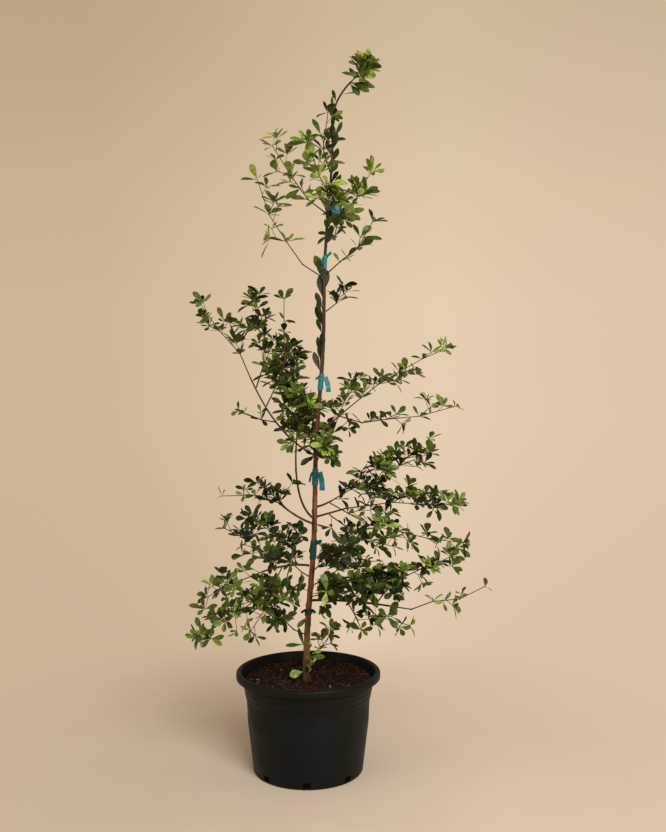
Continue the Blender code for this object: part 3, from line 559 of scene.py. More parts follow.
def turned(profile, sides):
    """A solid of revolution from (radius, height) points that start and end on the axis."""
    bm = bmesh.new()
    verts = [bm.verts.new((radius, 0.0, height)) for radius, height in profile]
    for lower, upper in zip(verts, verts[1:]):
        bm.edges.new((lower, upper))
    bmesh.ops.spin(bm, geom=bm.verts[:] + bm.edges[:], cent=(0, 0, 0), axis=UP,
                   angle=math.tau, steps=sides, use_merge=True)
    bmesh.ops.remove_doubles(bm, verts=bm.verts, dist=0.00001)
    return bm


def trunk_centre(height):
    rise = height - TRUNK_FOOT
    wave = math.tau * rise / TRUNK_SWAY_LENGTH
    crook = max(0.0, (height - TRUNK_CROOK_START) / (TRUNK_TOP - TRUNK_CROOK_START))
    x = TRUNK_FOOT_X + TRUNK_LEAN * rise - TRUNK_SWAY * math.sin(wave)
    x += TRUNK_CROOK * crook ** TRUNK_CROOK_POWER
    y = TRUNK_SWAY * math.sin(wave * 0.8)
    return Vector((x, y, height))


def trunk_radius(height):
    share = (height - TRUNK_FOOT) / (TRUNK_TOP - TRUNK_FOOT)
    flare = TRUNK_FLARE * math.exp(-(height - SOIL_TOP) / TRUNK_FLARE_HEIGHT)
    return TRUNK_RADIUS + (TRUNK_TIP_RADIUS - TRUNK_RADIUS) * share + flare


class Limb:
    """The centre line of a limb or twig, its radius at each point, and the plane that it starts on."""

    def __init__(self, points, radii, seat_normal=None):
        self.points = points
        self.radii = radii
        self.seat_normal = seat_normal

    def heading(self, index):
        """The direction of the centre line at a point."""
        before = self.points[max(index - 1, 0)]
        after = self.points[min(index + 1, len(self.points) - 1)]
        return (after - before).normalized()

    def at(self, share):
        """Centre, radius and direction at a share of the way along."""
        place = min(max(share, 0.0), 1.0) * (len(self.points) - 1)
        index = min(int(place), len(self.points) - 2)
        part = place - index
        centre = self.points[index].lerp(self.points[index + 1], part)
        radius = self.radii[index] * (1 - part) + self.radii[index + 1] * part
        return centre, radius, (self.points[index + 1] - self.points[index]).normalized()

    def share_at_height(self, height):
        """How far along a rising limb a height is."""
        heights = [point.z for point in self.points]
        return np.interp(height, heights, range(len(heights))) / (len(heights) - 1)


def trunk_heights():
    """The heights of the trunk's rings, closest at the root flare and in the crook."""
    foot = SOIL_TOP + SEAT_GAP
    flare_top = foot + TRUNK_FLARE_HEIGHT * 2
    heights = [foot + (flare_top - foot) * (index / FLARE_RINGS) ** 1.5 for index in range(FLARE_RINGS)]
    shaft = TRUNK_CROOK_START - flare_top
    heights += [flare_top + shaft * index / SHAFT_RINGS for index in range(SHAFT_RINGS)]
    crook = TRUNK_TOP - TRUNK_CROOK_START
    heights += [TRUNK_CROOK_START + crook * index / CROOK_RINGS for index in range(CROOK_RINGS + 1)]
    return heights


def grow_trunk():
    heights = trunk_heights()
    points = [trunk_centre(height) for height in heights]
    return Limb(points, [trunk_radius(height) for height in heights], UP)


def seat_on(carrier, share, toward):
    """Where a limb meets its carrier: the point, the plane's normal and the direction it sets off in."""
    if share == TIP:
        centre, radius, along = carrier.at(1.0)
        return centre + along * SEAT_GAP, along, along
    centre, radius, along = carrier.at(share)
    chord = (toward - centre).normalized()
    out = (chord - along * chord.dot(along)).normalized()
    heading = (out * 0.85 + chord * 0.45 + UP * 0.20).normalized()
    return centre + out * (radius + SEAT_GAP), out, heading


def arc(start, heading, tip, bend, count):
    """Points on one smooth curve that leaves along heading and ends at tip."""
    elbow = start + heading * (tip - start).length * bend
    points = []
    for index in range(count + 1):
        t = index / count
        points.append(start * (1 - t) ** 2 + elbow * 2 * t * (1 - t) + tip * t * t)
    return points


def grow_bough(trunk, bough, rings=BOUGH_RINGS):
    """One tapering bough from the trunk's side to its tip."""
    tip = Vector(bough.tip)
    start, normal, heading = seat_on(trunk, trunk.share_at_height(bough.height), tip)
    points = arc(start, heading, tip, BOUGH_BEND, rings)
    foot_radius = trunk_radius(bough.height) * BOUGH_SHARE
    tip_radius = foot_radius * BOUGH_TIP_SHARE
    taper = (tip_radius - foot_radius) / rings
    return Limb(points, [foot_radius + taper * index for index in range(rings + 1)], normal)


class Crowd:
    """Every limb and twig grown so far, as short straight pieces with a radius and an owner."""

    def __init__(self):
        self.starts = np.empty((0, 3))
        self.ends = np.empty((0, 3))
        self.radii = np.empty(0)
        self.owners = np.empty(0, dtype=int)

    def add(self, limb, owner):
        points = np.array([tuple(point) for point in limb.points])
        self.starts = np.vstack((self.starts, points[:-1]))
        self.ends = np.vstack((self.ends, points[1:]))
        self.radii = np.append(self.radii, limb.radii[:-1])
        self.owners = np.append(self.owners, [owner] * (len(points) - 1))

    def gaps(self, points):
        """The clear space from each point to each straight piece."""
        spots = np.array([tuple(point) for point in points])[:, None, :]
        along = (self.ends - self.starts)[None]
        offset = spots - self.starts[None]
        share = np.clip((offset * along).sum(2) / (along * along).sum(2), 0.0, 1.0)
        return np.linalg.norm(offset - along * share[..., None], axis=2) - self.radii[None]


LIMBS = 0                       # the owner number of the trunk and boughs; masses count from 1


def samples_along(points, step=0.006):
    """Points every few millimetres along a line, with their distance from its start."""
    spots = []
    travelled = 0.0
    for first, last in zip(points, points[1:]):
        length = (last - first).length
        count = max(1, round(length / step))
        for index in range(count):
            spots.append((first.lerp(last, index / count), travelled + length * index / count))
        travelled += length
    spots.append((points[-1], travelled))
    return spots


def cross_axes(direction):
    """Two directions square to a direction, the first one level."""
    level = direction.cross(UP)
    if level.length < 0.05:
        level = Vector((1.0, 0.0, 0.0))
    level.normalize()
    return level, level.cross(direction).normalized()


def clear_share(crowd, owner, points, free_length):
    """The least clear space of a line, less what it needs; above 0 it is clear of everything."""
    spots = samples_along(points)
    gaps = crowd.gaps([spot for spot, travelled in spots])
    least = 1.0
    for row, (spot, travelled) in zip(gaps, spots):
        other = row[crowd.owners != owner]
        limbs = row[crowd.owners == LIMBS]
        if travelled < free_length:
            continue
        least = min(least, other.min() - MASS_CLEARANCE, limbs.min() - LIMB_CLEARANCE)
    return least


def grow_stem(crowd, owner, mass, limbs, rng):
    """A mass's stem, in zigzag internodes from its seat to its tip; the clearest of a few tries."""
    carrier = limbs[mass.carrier]
    share = mass.start
    if mass.carrier == "trunk" and mass.start != TIP:
        share = carrier.share_at_height(mass.start)
    tip = Vector(mass.tip)
    start, normal, heading = seat_on(carrier, share, tip)
    count = max(2, round((tip - start).length / INTERNODE))
    level, rise = cross_axes((tip - start).normalized())
    best = None
    for attempt in range(STEM_TRIES):
        points = arc(start, heading, tip, STEM_BEND, count)
        phase = rng.uniform(0, math.tau)
        for index in range(1, count):
            angle = phase + index * (math.pi + rng.uniform(-0.5, 0.5))
            aside = level * math.cos(angle) + rise * math.sin(angle)
            points[index] += aside * ZIGZAG * rng.uniform(0.6, 1.2)
        clear = clear_share(crowd, owner, points, SEAT_LENGTH)
        if best is None or clear > best[0]:
            best = (clear, points)
        if clear > 0:
            break
    points = best[1]
    foot = min(STEM_RADIUS, carrier.radii[-1] if share == TIP else STEM_RADIUS)
    radii = [foot + (STEM_TIP_RADIUS - foot) * index / count for index in range(count + 1)]
    return Limb(points, radii, normal)


def grow_side_twig(crowd, owner, stem, index, fork, side_length, rng):
    """One of the side twigs that fork off the stem at a node, or nothing where there is no room."""
    count = len(stem.points) - 1
    along = stem.heading(index)
    level, rise = cross_axes(along)
    length = side_length * (1.0 - 0.40 * index / count) * rng.uniform(0.80, 1.20)
    steep = abs(along.z) > LEVEL_LIMIT
    turn = (index + fork) * SPIRAL_ANGLE if steep else ((index + fork) % 2) * math.pi
    start = stem.points[index].lerp(stem.points[index + 1], FORK_STEP * fork)
    for attempt in range(FORK_TRIES):
        angle = turn + rng.uniform(-FORK_SPREAD, FORK_SPREAD) * (1 + attempt * 0.5)
        aside = level * math.cos(angle) + rise * math.sin(angle)
        first = along * math.cos(FORK_ANGLE) + aside * math.sin(FORK_ANGLE) + UP * rng.uniform(0.0, 0.25)
        kink = (first.normalized() + along * 0.35 + level * rng.uniform(-0.25, 0.25)).normalized()
        middle = start + first.normalized() * length * 0.5
        points = [start, middle, middle + kink * length * 0.5]
        if length < LONG_TWIG:
            points = [start, points[-1]]
        if clear_share(crowd, owner, points, 0.0) > 0:
            return Limb(points, [STEM_TIP_RADIUS] * len(points))
    return None


Rosette = namedtuple("Rosette", "place along at_tip")


def grow_skeleton(crowd, owner, mass, stem, rng):
    """A mass's side twigs, and the places where its leaves stand."""
    twigs = []
    rosettes = []
    count = len(stem.points) - 1
    first_leafy = max(1, math.ceil(mass.bare * count))
    for index in range(first_leafy, count):
        rosettes.append(Rosette(stem.points[index], stem.heading(index), False))
        for fork in range(2 if count == SHORT_STEM else 1):
            twig = grow_side_twig(crowd, owner, stem, index, fork, mass.side_length, rng)
            if twig is None:
                continue
            crowd.add(twig, owner)
            twigs.append(twig)
            if len(twig.points) > 2:
                rosettes.append(Rosette(twig.points[1], twig.heading(1), False))
            rosettes.append(tip_rosette(twig))
    rosettes.append(tip_rosette(stem))
    return twigs, rosettes


def tip_rosette(limb):
    along = limb.heading(len(limb.points) - 1)
    return Rosette(limb.points[-1] - along * TIP_SETBACK, along, True)


def random_direction(rng):
    """A direction in any way, evenly."""
    rise = rng.uniform(-1.0, 1.0)
    turn = rng.uniform(0, math.tau)
    reach = math.sqrt(1 - rise * rise)
    return Vector((reach * math.cos(turn), reach * math.sin(turn), rise))


SHOOT_SPACING = 0.026           # along a twig of a mass of fullness 1, between its finer shoots
SHOOT_RADIUS = 0.0008
SHOOT_FORK = 0.5                # the share of a full mass's shoots that fork once more
SHOOT_ROOM = -0.004             # how far a shoot may reach past the middle between two masses


def grow_shoot(rng, start, along, length):
    """A short shoot that sets off aside and turns up a little."""
    level, rise = cross_axes(along)
    angle = rng.uniform(0, math.tau)
    aside = level * math.cos(angle) + rise * math.sin(angle)
    heading = (along * 0.55 + aside * 0.85 + UP * 0.22).normalized()
    middle = start + heading * length * 0.55
    end = middle + (heading + UP * rng.uniform(0.0, 0.45)).normalized() * length * 0.45
    return Limb([start, middle, end], [SHOOT_RADIUS, SHOOT_RADIUS * 0.9, SHOOT_RADIUS * 0.7])


# The photo shows the trunk bare between these heights, with nothing this close to its line in front of it
BARE_TRUNK = (0.262, 0.755)
BARE_TRUNK_HALF = 0.013


def hides_trunk(spot):
    """Whether a point stands in front of the trunk, seen by the photo's camera, where the trunk is bare."""
    eye = Vector(CAMERA_PLACE)
    seen = eye + (spot - eye) * (eye.y / (eye.y - spot.y))
    return (spot.y < 0.0 and BARE_TRUNK[0] < seen.z < BARE_TRUNK[1]
            and abs(seen.x - trunk_centre(seen.z).x) < BARE_TRUNK_HALF)


class Tree:
    """The whole skeleton, grown once and shared by the pieces."""

    def __init__(self):
        self.limbs = {"trunk": grow_trunk()}
        for bough in BOUGHS:
            self.limbs[bough.name] = grow_bough(self.limbs["trunk"], bough)
        self.crowd = Crowd()
        for limb in self.limbs.values():
            self.crowd.add(limb, LIMBS)
        for tie in TIES:
            ends = [trunk_centre(tie.height - tie.length / 2), trunk_centre(tie.height + tie.length / 2)]
            radius = (trunk_radius(tie.height) + SEAT_GAP) / math.cos(math.pi / TIE_SIDES) + TIE_WALL
            self.crowd.add(Limb(ends, [radius, radius]), LIMBS)
        self.stems = []
        for number, mass in enumerate(MASSES, start=1):
            stem = grow_stem(self.crowd, number, mass, self.limbs, random.Random(SEED + number))
            self.crowd.add(stem, number)
            self.stems.append(stem)
        self.twigs = []
        self.rosettes = []
        for number, (mass, stem) in enumerate(zip(MASSES, self.stems), start=1):
            twigs, rosettes = grow_skeleton(self.crowd, number, mass, stem, random.Random(SEED * 2 + number))
            self.twigs.append(twigs)
            self.rosettes.append(rosettes)

    def has_room(self, owner, spots, least):
        """Whether points keep to a mass's own space, off the limbs, out of the soil and inside the plant's reach."""
        for spot in spots:
            if spot.z < soil_height(spot.x, spot.y) + LEAF_OFF_SOIL or hides_trunk(spot):
                return False
            if spot.z < POT_HEIGHT + SOIL_CLEARANCE and math.hypot(spot.x, spot.y) > POT_NECK_RADIUS - RIM_CLEARANCE:
                return False
            for axis in range(3):
                if not CAD_BOX[0][axis] - PAST_BOX < spot[axis] < CAD_BOX[1][axis] + PAST_BOX:
                    return False
        gaps = self.crowd.gaps(spots)
        if gaps[:, self.crowd.owners == LIMBS].min() < LEAF_OFF_LIMB:
            return False
        own = gaps[:, self.crowd.owners == owner].min(axis=1)
        others = gaps[:, (self.crowd.owners != owner) & (self.crowd.owners != LIMBS)].min(axis=1)
        return bool((others - own).min() > least)

    def grow_shoots(self, number, length):
        """Finer shoots along a mass's stem and side twigs; where the mass is full, some fork again."""
        mass = MASSES[number - 1]
        fullness = FULLNESS.get(mass.name, 1.0)
        rng = random.Random(SEED * 5 + number)
        shoots = []
        stem = self.stems[number - 1]
        for limb in [stem] + self.twigs[number - 1]:
            bare = mass.bare if limb is stem else 0.0
            last = len(limb.points) - 1
            for index in range(math.ceil(bare * last), last):
                first, second = limb.points[index], limb.points[index + 1]
                along = (second - first).normalized()
                count = round((second - first).length / SHOOT_SPACING * fullness + rng.uniform(-0.5, 0.5))
                for place in range(count):
                    start = first.lerp(second, (place + rng.uniform(0.2, 0.8)) / count)
                    shoot = grow_shoot(rng, start, along, length * rng.uniform(0.55, 1.45))
                    if not self.has_room(number, shoot.points[1:], SHOOT_ROOM):
                        continue
                    shoots.append(shoot)
                    if rng.random() < SHOOT_FORK * (fullness - 0.5):
                        fork = grow_shoot(rng, shoot.points[1], shoot.heading(1), length * rng.uniform(0.5, 1.0))
                        if self.has_room(number, fork.points[1:], SHOOT_ROOM):
                            shoots.append(fork)
        return shoots


PAST_BOX = 0.006                # how far a fine leaf may stand past the solids' box
LEAF_ROOM = -0.010              # how far a leaf may reach past the middle between two masses
LEAF_OFF_LIMB = 0.0015
LEAF_OFF_SOIL = 0.0020
TREE = Tree()


class Sheaf:
    """Points and faces of many small things, to be joined into one mesh."""

    def __init__(self):
        self.points = []
        self.faces = []

    def add(self, points, faces):
        base = len(self.points)
        self.points.extend(tuple(point) for point in points)
        self.faces.extend(tuple(base + corner for corner in face) for face in faces)

    def add_tube(self, points, radii, sides):
        """A round tube with closed ends through the points."""
        ring_points = []
        line = Limb(points, radii)
        side = cross_axes(line.heading(0))[0]
        for index, (point, radius) in enumerate(zip(points, radii)):
            heading = line.heading(index)
            side = (side - heading * side.dot(heading)).normalized()
            rise = heading.cross(side)
            for corner in range(sides):
                angle = corner * math.tau / sides
                ring_points.append(point + (side * math.cos(angle) + rise * math.sin(angle)) * radius)
        faces = [tuple(range(sides))[::-1]]
        for index in range(len(points) - 1):
            base = index * sides
            for corner in range(sides):
                after = (corner + 1) % sides
                faces.append((base + corner, base + after, base + sides + after, base + sides + corner))
        last = (len(points) - 1) * sides
        faces.append(tuple(last + corner for corner in range(sides)))
        self.add(ring_points, faces)

    def piece(self, name, material, slot, replaced=(), crease=None):
        mesh = bpy.data.meshes.new(name)
        mesh.from_pydata(self.points, [], self.faces)
        mesh.materials.append(material)
        mesh.shade_smooth()
        if crease is not None:
            mesh.set_sharp_from_angle(angle=crease)
        return link_mesh(name, mesh, replaced)


TRUNK_BARK_SIDES = 20
BOUGH_BARK_SIDES = 12
BOUGH_BARK_RINGS = 44
BARK_STEP = 0.004
KNOB_SPACING = 0.047            # between the old leaf scars that stand out of the trunk
KNOB_HEIGHT = 0.0045
KNOB_RISE = 0.30                # how far a knob stands out, as a share of the radius


def knob(angle, travelled):
    """The swelling of the nearest old leaf scar, on alternating sides of the trunk."""
    number = round(travelled / KNOB_SPACING)
    away = (travelled - number * KNOB_SPACING) / KNOB_HEIGHT
    facing = max(0.0, math.cos(angle - number * SPIRAL_ANGLE))
    return KNOB_RISE * math.exp(-away * away) * facing * facing


def bark_point(centre, side, rise, angle, radius, relief, travelled):
    """A point of the bark, with ridges that run along the limb and scars where leaves once stood."""
    where = Vector((math.cos(angle) * 2.2, math.sin(angle) * 2.2, travelled * 55.0))
    ridge = noise.fractal(where, 0.8, 2.0, 4)
    swell = noise.noise(Vector((7.0, 3.0, travelled * 22.0)))
    reach = radius * (1.0 + relief * ridge + relief * 0.6 * swell + knob(angle, travelled))
    return centre + (side * math.cos(angle) + rise * math.sin(angle)) * reach


def bark_sweep(points, radii, relief, sides, seat_normal):
    """A limb with bark relief, drawn by extruding its end face along the centre line."""
    bm = bmesh.new()
    line = Limb(points, radii)
    side = cross_axes(line.heading(0))[0]
    order = bmesh.ops.create_circle(bm, cap_ends=True, segments=sides, radius=1.0)["verts"]
    order.sort(key=lambda vert: math.atan2(vert.co.y, vert.co.x))
    cap = order[0].link_faces[0]
    travelled = 0.0
    for index, (point, radius) in enumerate(zip(points, radii)):
        heading = line.heading(index)
        if index > 0:
            travelled += (point - points[index - 1]).length
            grown = bmesh.ops.extrude_face_region(bm, geom=[cap])["geom"]
            fresh = {item for item in grown if isinstance(item, bmesh.types.BMVert)}
            order = [next(edge.other_vert(old) for edge in old.link_edges if edge.other_vert(old) in fresh)
                     for old in order]
            if index > 1:
                bmesh.ops.delete(bm, geom=[cap], context="FACES_ONLY")
            cap = next(item for item in grown if isinstance(item, bmesh.types.BMFace))
        side = (side - heading * side.dot(heading)).normalized()
        rise = heading.cross(side)
        for corner, vert in enumerate(order):
            vert.co = bark_point(point, side, rise, corner * math.tau / sides, radius, relief, travelled)
            if index == 0:
                vert.co += heading * ((point - vert.co).dot(seat_normal) / heading.dot(seat_normal))
    return bm


class OLIVE_OT_limbs(bpy.types.Operator):
    """Make the trunk and boughs with bark relief."""

    bl_idname = "olive.limbs"
    bl_label = "Trunk and boughs"

    def execute(self, context):
        relief = sizes().bark_relief
        foot = SOIL_TOP + SEAT_GAP
        count = round((TRUNK_TOP - foot) / BARK_STEP)
        heights = [foot + (TRUNK_TOP - foot) * index / count for index in range(count + 1)]
        points = [trunk_centre(height) for height in heights]
        bm = bark_sweep(points, [trunk_radius(height) for height in heights], relief, TRUNK_BARK_SIDES, UP)
        piece_from_bmesh("trunk_bark_piece", bm, trunk_material(), ("trunk",))
        bough_bark = bark_material("bough_bark", tuple(colours().twig), (1.0, 1.0, 0.5))
        for bough in BOUGHS:
            fine = grow_bough(TREE.limbs["trunk"], bough, BOUGH_BARK_RINGS)
            bm = bark_sweep(fine.points, fine.radii, relief * 0.8, BOUGH_BARK_SIDES, fine.seat_normal)
            piece_from_bmesh(bough.name + "_piece", bm, bough_bark, (bough.name,))
        return {"FINISHED"}


TWIG_TUBE_SIDES = 6
SHOOT_TUBE_SIDES = 4
NODE_SWELL = 1.45
NODE_REACH = 0.004              # how far from a node its swelling reaches
STEM_FOOT_SHARE = 0.92
STEM_TIP = 0.0009
TWIG_FOOT = 0.0011
TWIG_TIP = 0.0008


def knuckled(limb, foot, tip):
    """A twig's points and radii with a swelling at every node."""
    points = []
    radii = []
    count = len(limb.points) - 1
    for index, point in enumerate(limb.points):
        radius = foot + (tip - foot) * index / count
        if 0 < index < count:
            before = (limb.points[index - 1] - point).normalized()
            after = (limb.points[index + 1] - point).normalized()
            points += [point + before * NODE_REACH, point, point + after * NODE_REACH]
            radii += [radius, radius * NODE_SWELL, radius]
        else:
            points.append(point)
            radii.append(radius)
    return points, radii


class OLIVE_OT_twigs(bpy.types.Operator):
    """Make the twigs: each mass's stem, side twigs and finer shoots."""

    bl_idname = "olive.twigs"
    bl_label = "Twigs"

    def execute(self, context):
        sheaf = Sheaf()
        for number in range(1, len(MASSES) + 1):
            stem = TREE.stems[number - 1]
            sheaf.add_tube(*knuckled(stem, stem.radii[0] * STEM_FOOT_SHARE, STEM_TIP), TWIG_TUBE_SIDES)
            for twig in TREE.twigs[number - 1]:
                sheaf.add_tube(*knuckled(twig, TWIG_FOOT, TWIG_TIP), TWIG_TUBE_SIDES)
            for shoot in TREE.grow_shoots(number, sizes().shoot_length):
                sheaf.add_tube(shoot.points, shoot.radii, SHOOT_TUBE_SIDES)
        material = bark_material("twig_bark", tuple(colours().twig), (1.0, 1.0, 1.0))
        sheaf.piece("twigs", material, "leaf_green")
        return {"FINISHED"}


LEAF_SHARES = (0.0, 0.17, 0.38, 0.58, 0.76, 0.89, 0.97)
STALK_WIDTH = 0.07              # half the stalk's width, as a share of half the blade's
STALK_LENGTH = 0.06
THIN_SHARE = 0.50               # the share of its leaves that a whorl keeps in a mass of no fullness
LEAF_SCALE = {
    "leaves_crown_tip": 1.02,
    "leaves_upper_left": 1.30,
    "leaves_upper_left_inner": 1.32,
    "leaves_upper_front": 1.30,
    "leaves_upper_left_low": 1.32,
    "leaves_upper_right": 1.25,
    "leaves_trunk_right": 1.15,
    "leaves_left_outer": 0.85,
    "leaves_left_low": 0.75,
    "leaves_left_thin": 0.80,
    "leaves_right_low": 0.90,
    "leaves_right_bare": 0.85,
    "leaves_low_front": 0.85,
    "leaves_low_front_right": 0.85,
    "leaves_low_right_inner": 1.00,
    "leaves_base_front": 0.60,
    "leaves_base_right": 0.60,
    "leaves_low_left_high": 0.75,
    "leaves_low_left_inner": 0.80,
    "leaves_low_left_middle": 0.85,
    "leaves_low_left_dense": 0.85,
    "leaves_drooping_left": 0.85,
    "leaves_low_right_dense": 0.90,
    "leaves_low_right_upper": 0.90,
    "leaves_left_inner": 0.95,
    "leaves_mid_upper_right": 1.30,
    "leaves_leader": 1.20,
    "leaves_left_centre": 1.10,
    "leaves_front_centre": 1.10,
}
# Leaf greens from painted shade to painted light, with the youngest leaves' own yellow green last
LEAF_KINDS = ("deep", "mid", "light", "young")
KIND_LIMITS = (0.22, 0.48, 0.74)

Leaf = namedtuple("Leaf", "root along across top length width fold curl")


def leaf_half_width(share):
    """Half the blade's width as a share of its greatest: a slim stalk, a wedge and a round tip."""
    along = max(0.0, (share - STALK_LENGTH) / (1 - STALK_LENGTH))
    return max(STALK_WIDTH, math.sin(math.pi * along ** 1.65) ** 0.75)


def leaf_template():
    """One leaf's points as shares along, aside and up its midrib, with its faces."""
    rows = []
    for share in LEAF_SHARES:
        half = leaf_half_width(share)
        rows += [(share, -half, 0), (share, half, 0), (share, 0, 1), (share, 0, -1)]
    rows.append((1.0, 0, 0))
    faces = [(0, 3, 1, 2)]
    for index in range(len(LEAF_SHARES) - 1):
        a = index * 4
        b = a + 4
        faces += [(a, a + 2, b + 2, b), (a + 2, a + 1, b + 1, b + 2),
                  (a + 3, a, b, b + 3), (a + 1, a + 3, b + 3, b + 1)]
    last = (len(LEAF_SHARES) - 1) * 4
    tip = last + 4
    faces += [(last, last + 2, tip), (last + 2, last + 1, tip), (last + 3, last, tip), (last + 1, last + 3, tip)]
    return np.array(rows), faces


def leaf_piece(name, leaves, material, replaced):
    """Many leaves as one mesh: every leaf is the template laid along its own axes."""
    rows, faces = leaf_template()
    share, aside, rib = rows.T

    def axis(field):
        return np.array([tuple(getattr(leaf, field)) for leaf in leaves])[:, None, :]

    def number(field):
        return np.array([getattr(leaf, field) for leaf in leaves])[:, None]

    length = number("length")
    half = number("width") / 2
    lift = number("fold") * half * np.abs(aside) - number("curl") * length * share ** 2
    lift = lift + rib * sizes().leaf_thickness / 2
    points = (axis("root") + axis("along") * (length * share)[..., None]
              + axis("across") * (half * aside)[..., None] + axis("top") * lift[..., None])
    mesh = bpy.data.meshes.new(name)
    each = len(rows)
    mesh.from_pydata(points.reshape(-1, 3).tolist(), [],
                     [tuple(base * each + corner for corner in face) for base in range(len(leaves)) for face in faces])
    mesh.materials.append(material)
    mesh.shade_smooth()
    mesh.set_sharp_from_angle(angle=math.radians(50))
    return link_mesh(name, mesh, replaced)


def leaf_on(rng, root, axis, spread, turn, length, width_share):
    """A leaf that leans off an axis by a spread, at a turn round it."""
    level, rise = cross_axes(axis)
    radial = level * math.cos(turn) + rise * math.sin(turn)
    along = (axis * math.cos(spread) + radial * math.sin(spread)).normalized()
    across = axis.cross(along).normalized()
    twist = rng.uniform(-0.55, 0.55)
    top = along.cross(across)
    across = (across * math.cos(twist) + top * math.sin(twist)).normalized()
    return Leaf(root, along, across, along.cross(across), length, length * width_share * rng.uniform(0.88, 1.12),
                rng.uniform(0.05, 0.40), rng.uniform(-0.03, 0.20))


def whorl(rng, rosette, count, scale):
    """The leaves of one whorl, the inner ones smaller and more upright."""
    lean = 0.40 if rosette.at_tip else 0.75
    axis = rosette.along * (1.0 - lean * 0.6) + UP * lean + random_direction(rng) * 0.38
    axis.normalize()
    phase = rng.uniform(0, math.tau)
    leaves = []
    for index in range(count):
        inner = index / count
        spread = math.radians(rng.uniform(55, 95) * (1.0 - inner) + rng.uniform(20, 52) * inner)
        turn = phase + index * SPIRAL_ANGLE + rng.uniform(-0.3, 0.3)
        length = sizes().leaf_length * rng.uniform(0.68, 1.15) * (1.0 - 0.25 * inner) * scale
        root = rosette.place - rosette.along * 0.0008 * index
        leaves.append(leaf_on(rng, root, axis, spread, turn, length, sizes().leaf_width))
    return leaves


def leaf_spots(leaf):
    """Points of a leaf that stand for it when its room is tested."""
    shares = ((0.35, 0), (0.65, 0.9), (0.65, -0.9), (0.85, 0), (1.0, 0))
    return [leaf.root + leaf.along * leaf.length * share + leaf.across * leaf.width * 0.5 * side
            for share, side in shares]


def whorl_painted_light_and_age(rng, name, rosette):
    """How light a whorl is, from 0 for deep to 1 for young: painted light outwards and painted shade near the trunk,
    lighter at tips, and each mass's own share of painted light and age, which lights the upper masses.
    """
    middle = trunk_centre(min(rosette.place.z, TRUNK_TOP))
    outward = min(1.0, (rosette.place - middle).length / 0.30)
    return (0.12 + 0.24 * outward + (0.10 if rosette.at_tip else 0.0) + MASS_PAINTED_LIGHT_AND_AGE.get(name, 0.0)
            + rng.gauss(0.0, 0.18))


def leaf_kind(light):
    """Which green a leaf gets."""
    return LEAF_KINDS[sum(light > limit for limit in KIND_LIMITS)]


# The leaves that stand straight on the trunk: the run's foot and top, the space between two of them,
# their length, width and scatter round the trunk, how far they lean out, and how light they are
Run = namedtuple("Run", "foot top spacing length width facing scatter lean light")
RUNS = (
    Run(0.980, 1.300, 0.021, 0.055, 0.34, 0.0, math.pi, 0.40, 0.12),
    Run(1.300, 1.665, 0.019, 0.058, 0.31, 0.0, math.pi, 0.55, 0.14),
    Run(0.236, 0.312, 0.0045, 0.019, 0.58, -0.7, 0.5, 0.35, 0.80),
)

# Single leaves low on the trunk and under its tip, as the photo shows them: height, the side of the
# trunk, the ways in which one points and faces, length, width, and how light it is
LoneLeaf = namedtuple("LoneLeaf", "height turn along top length width light")
LONE_LEAVES = (
    LoneLeaf(0.238, 3.1, (-0.93, -0.25, -0.18), (0.1, -0.80, 0.60), 0.036, 0.022, 0.90),
    LoneLeaf(0.272, 0.0, (0.95, -0.20, 0.14), (0.0, -0.75, 0.65), 0.042, 0.014, 0.60),
    LoneLeaf(0.375, -1.2, (-0.72, -0.45, -0.52), (-0.4, -0.80, 0.40), 0.040, 0.014, 0.62),
    LoneLeaf(0.304, 3.1, (-0.92, -0.20, 0.04), (0.0, -0.80, 0.60), 0.048, 0.011, 0.30),
    LoneLeaf(0.296, 2.8, (-0.30, -0.20, 0.93), (-0.3, -0.95, 0.0), 0.054, 0.011, 0.40),
    LoneLeaf(1.668, 0.0, (0.95, -0.20, 0.12), (0.0, -0.55, 0.83), 0.040, 0.014, 0.25),
    LoneLeaf(1.695, -0.5, (0.58, -0.25, -0.78), (0.4, -0.85, 0.30), 0.040, 0.022, 0.32),
    LoneLeaf(1.697, 0.0, (0.88, -0.15, -0.42), (0.2, -0.90, 0.35), 0.052, 0.023, 0.38),
    LoneLeaf(1.698, 0.5, (0.98, 0.10, -0.08), (0.1, -0.80, 0.60), 0.062, 0.024, 0.46),
)


def trunk_leaves():
    """The upright leaves of every run, each with how light it is."""
    rng = random.Random(SEED * 11)
    leaves = []
    for run in RUNS:
        height = run.foot
        while height < run.top:
            turn = run.facing + rng.uniform(-run.scatter, run.scatter)
            out = Vector((math.cos(turn), math.sin(turn), 0.0))
            root = trunk_centre(height) + out * trunk_radius(height) * 0.7
            along = (trunk_centre(height + 0.02) - trunk_centre(height)).normalized()
            axis = (along + out * run.lean * rng.uniform(0.35, 1.65)).normalized()
            if all(abs(height - tie.height) > tie.length / 2 + 0.006 for tie in TIES):
                length = run.length * rng.uniform(0.60, 1.10)
                leaves.append((leaf_on(rng, root, axis, 0.12, turn, length, run.width), run.light + rng.gauss(0, 0.1)))
            height += run.spacing * rng.uniform(0.6, 1.5)
    for lone in LONE_LEAVES:
        along = Vector(lone.along).normalized()
        across = Vector(lone.top).cross(along).normalized()
        out = Vector((math.cos(lone.turn), math.sin(lone.turn), 0.0))
        root = trunk_centre(lone.height) + out * trunk_radius(lone.height) * 0.7
        leaf = Leaf(root, along, across, along.cross(across), lone.length, lone.width, 0.15, 0.10)
        leaves.append((leaf, lone.light))
    return leaves


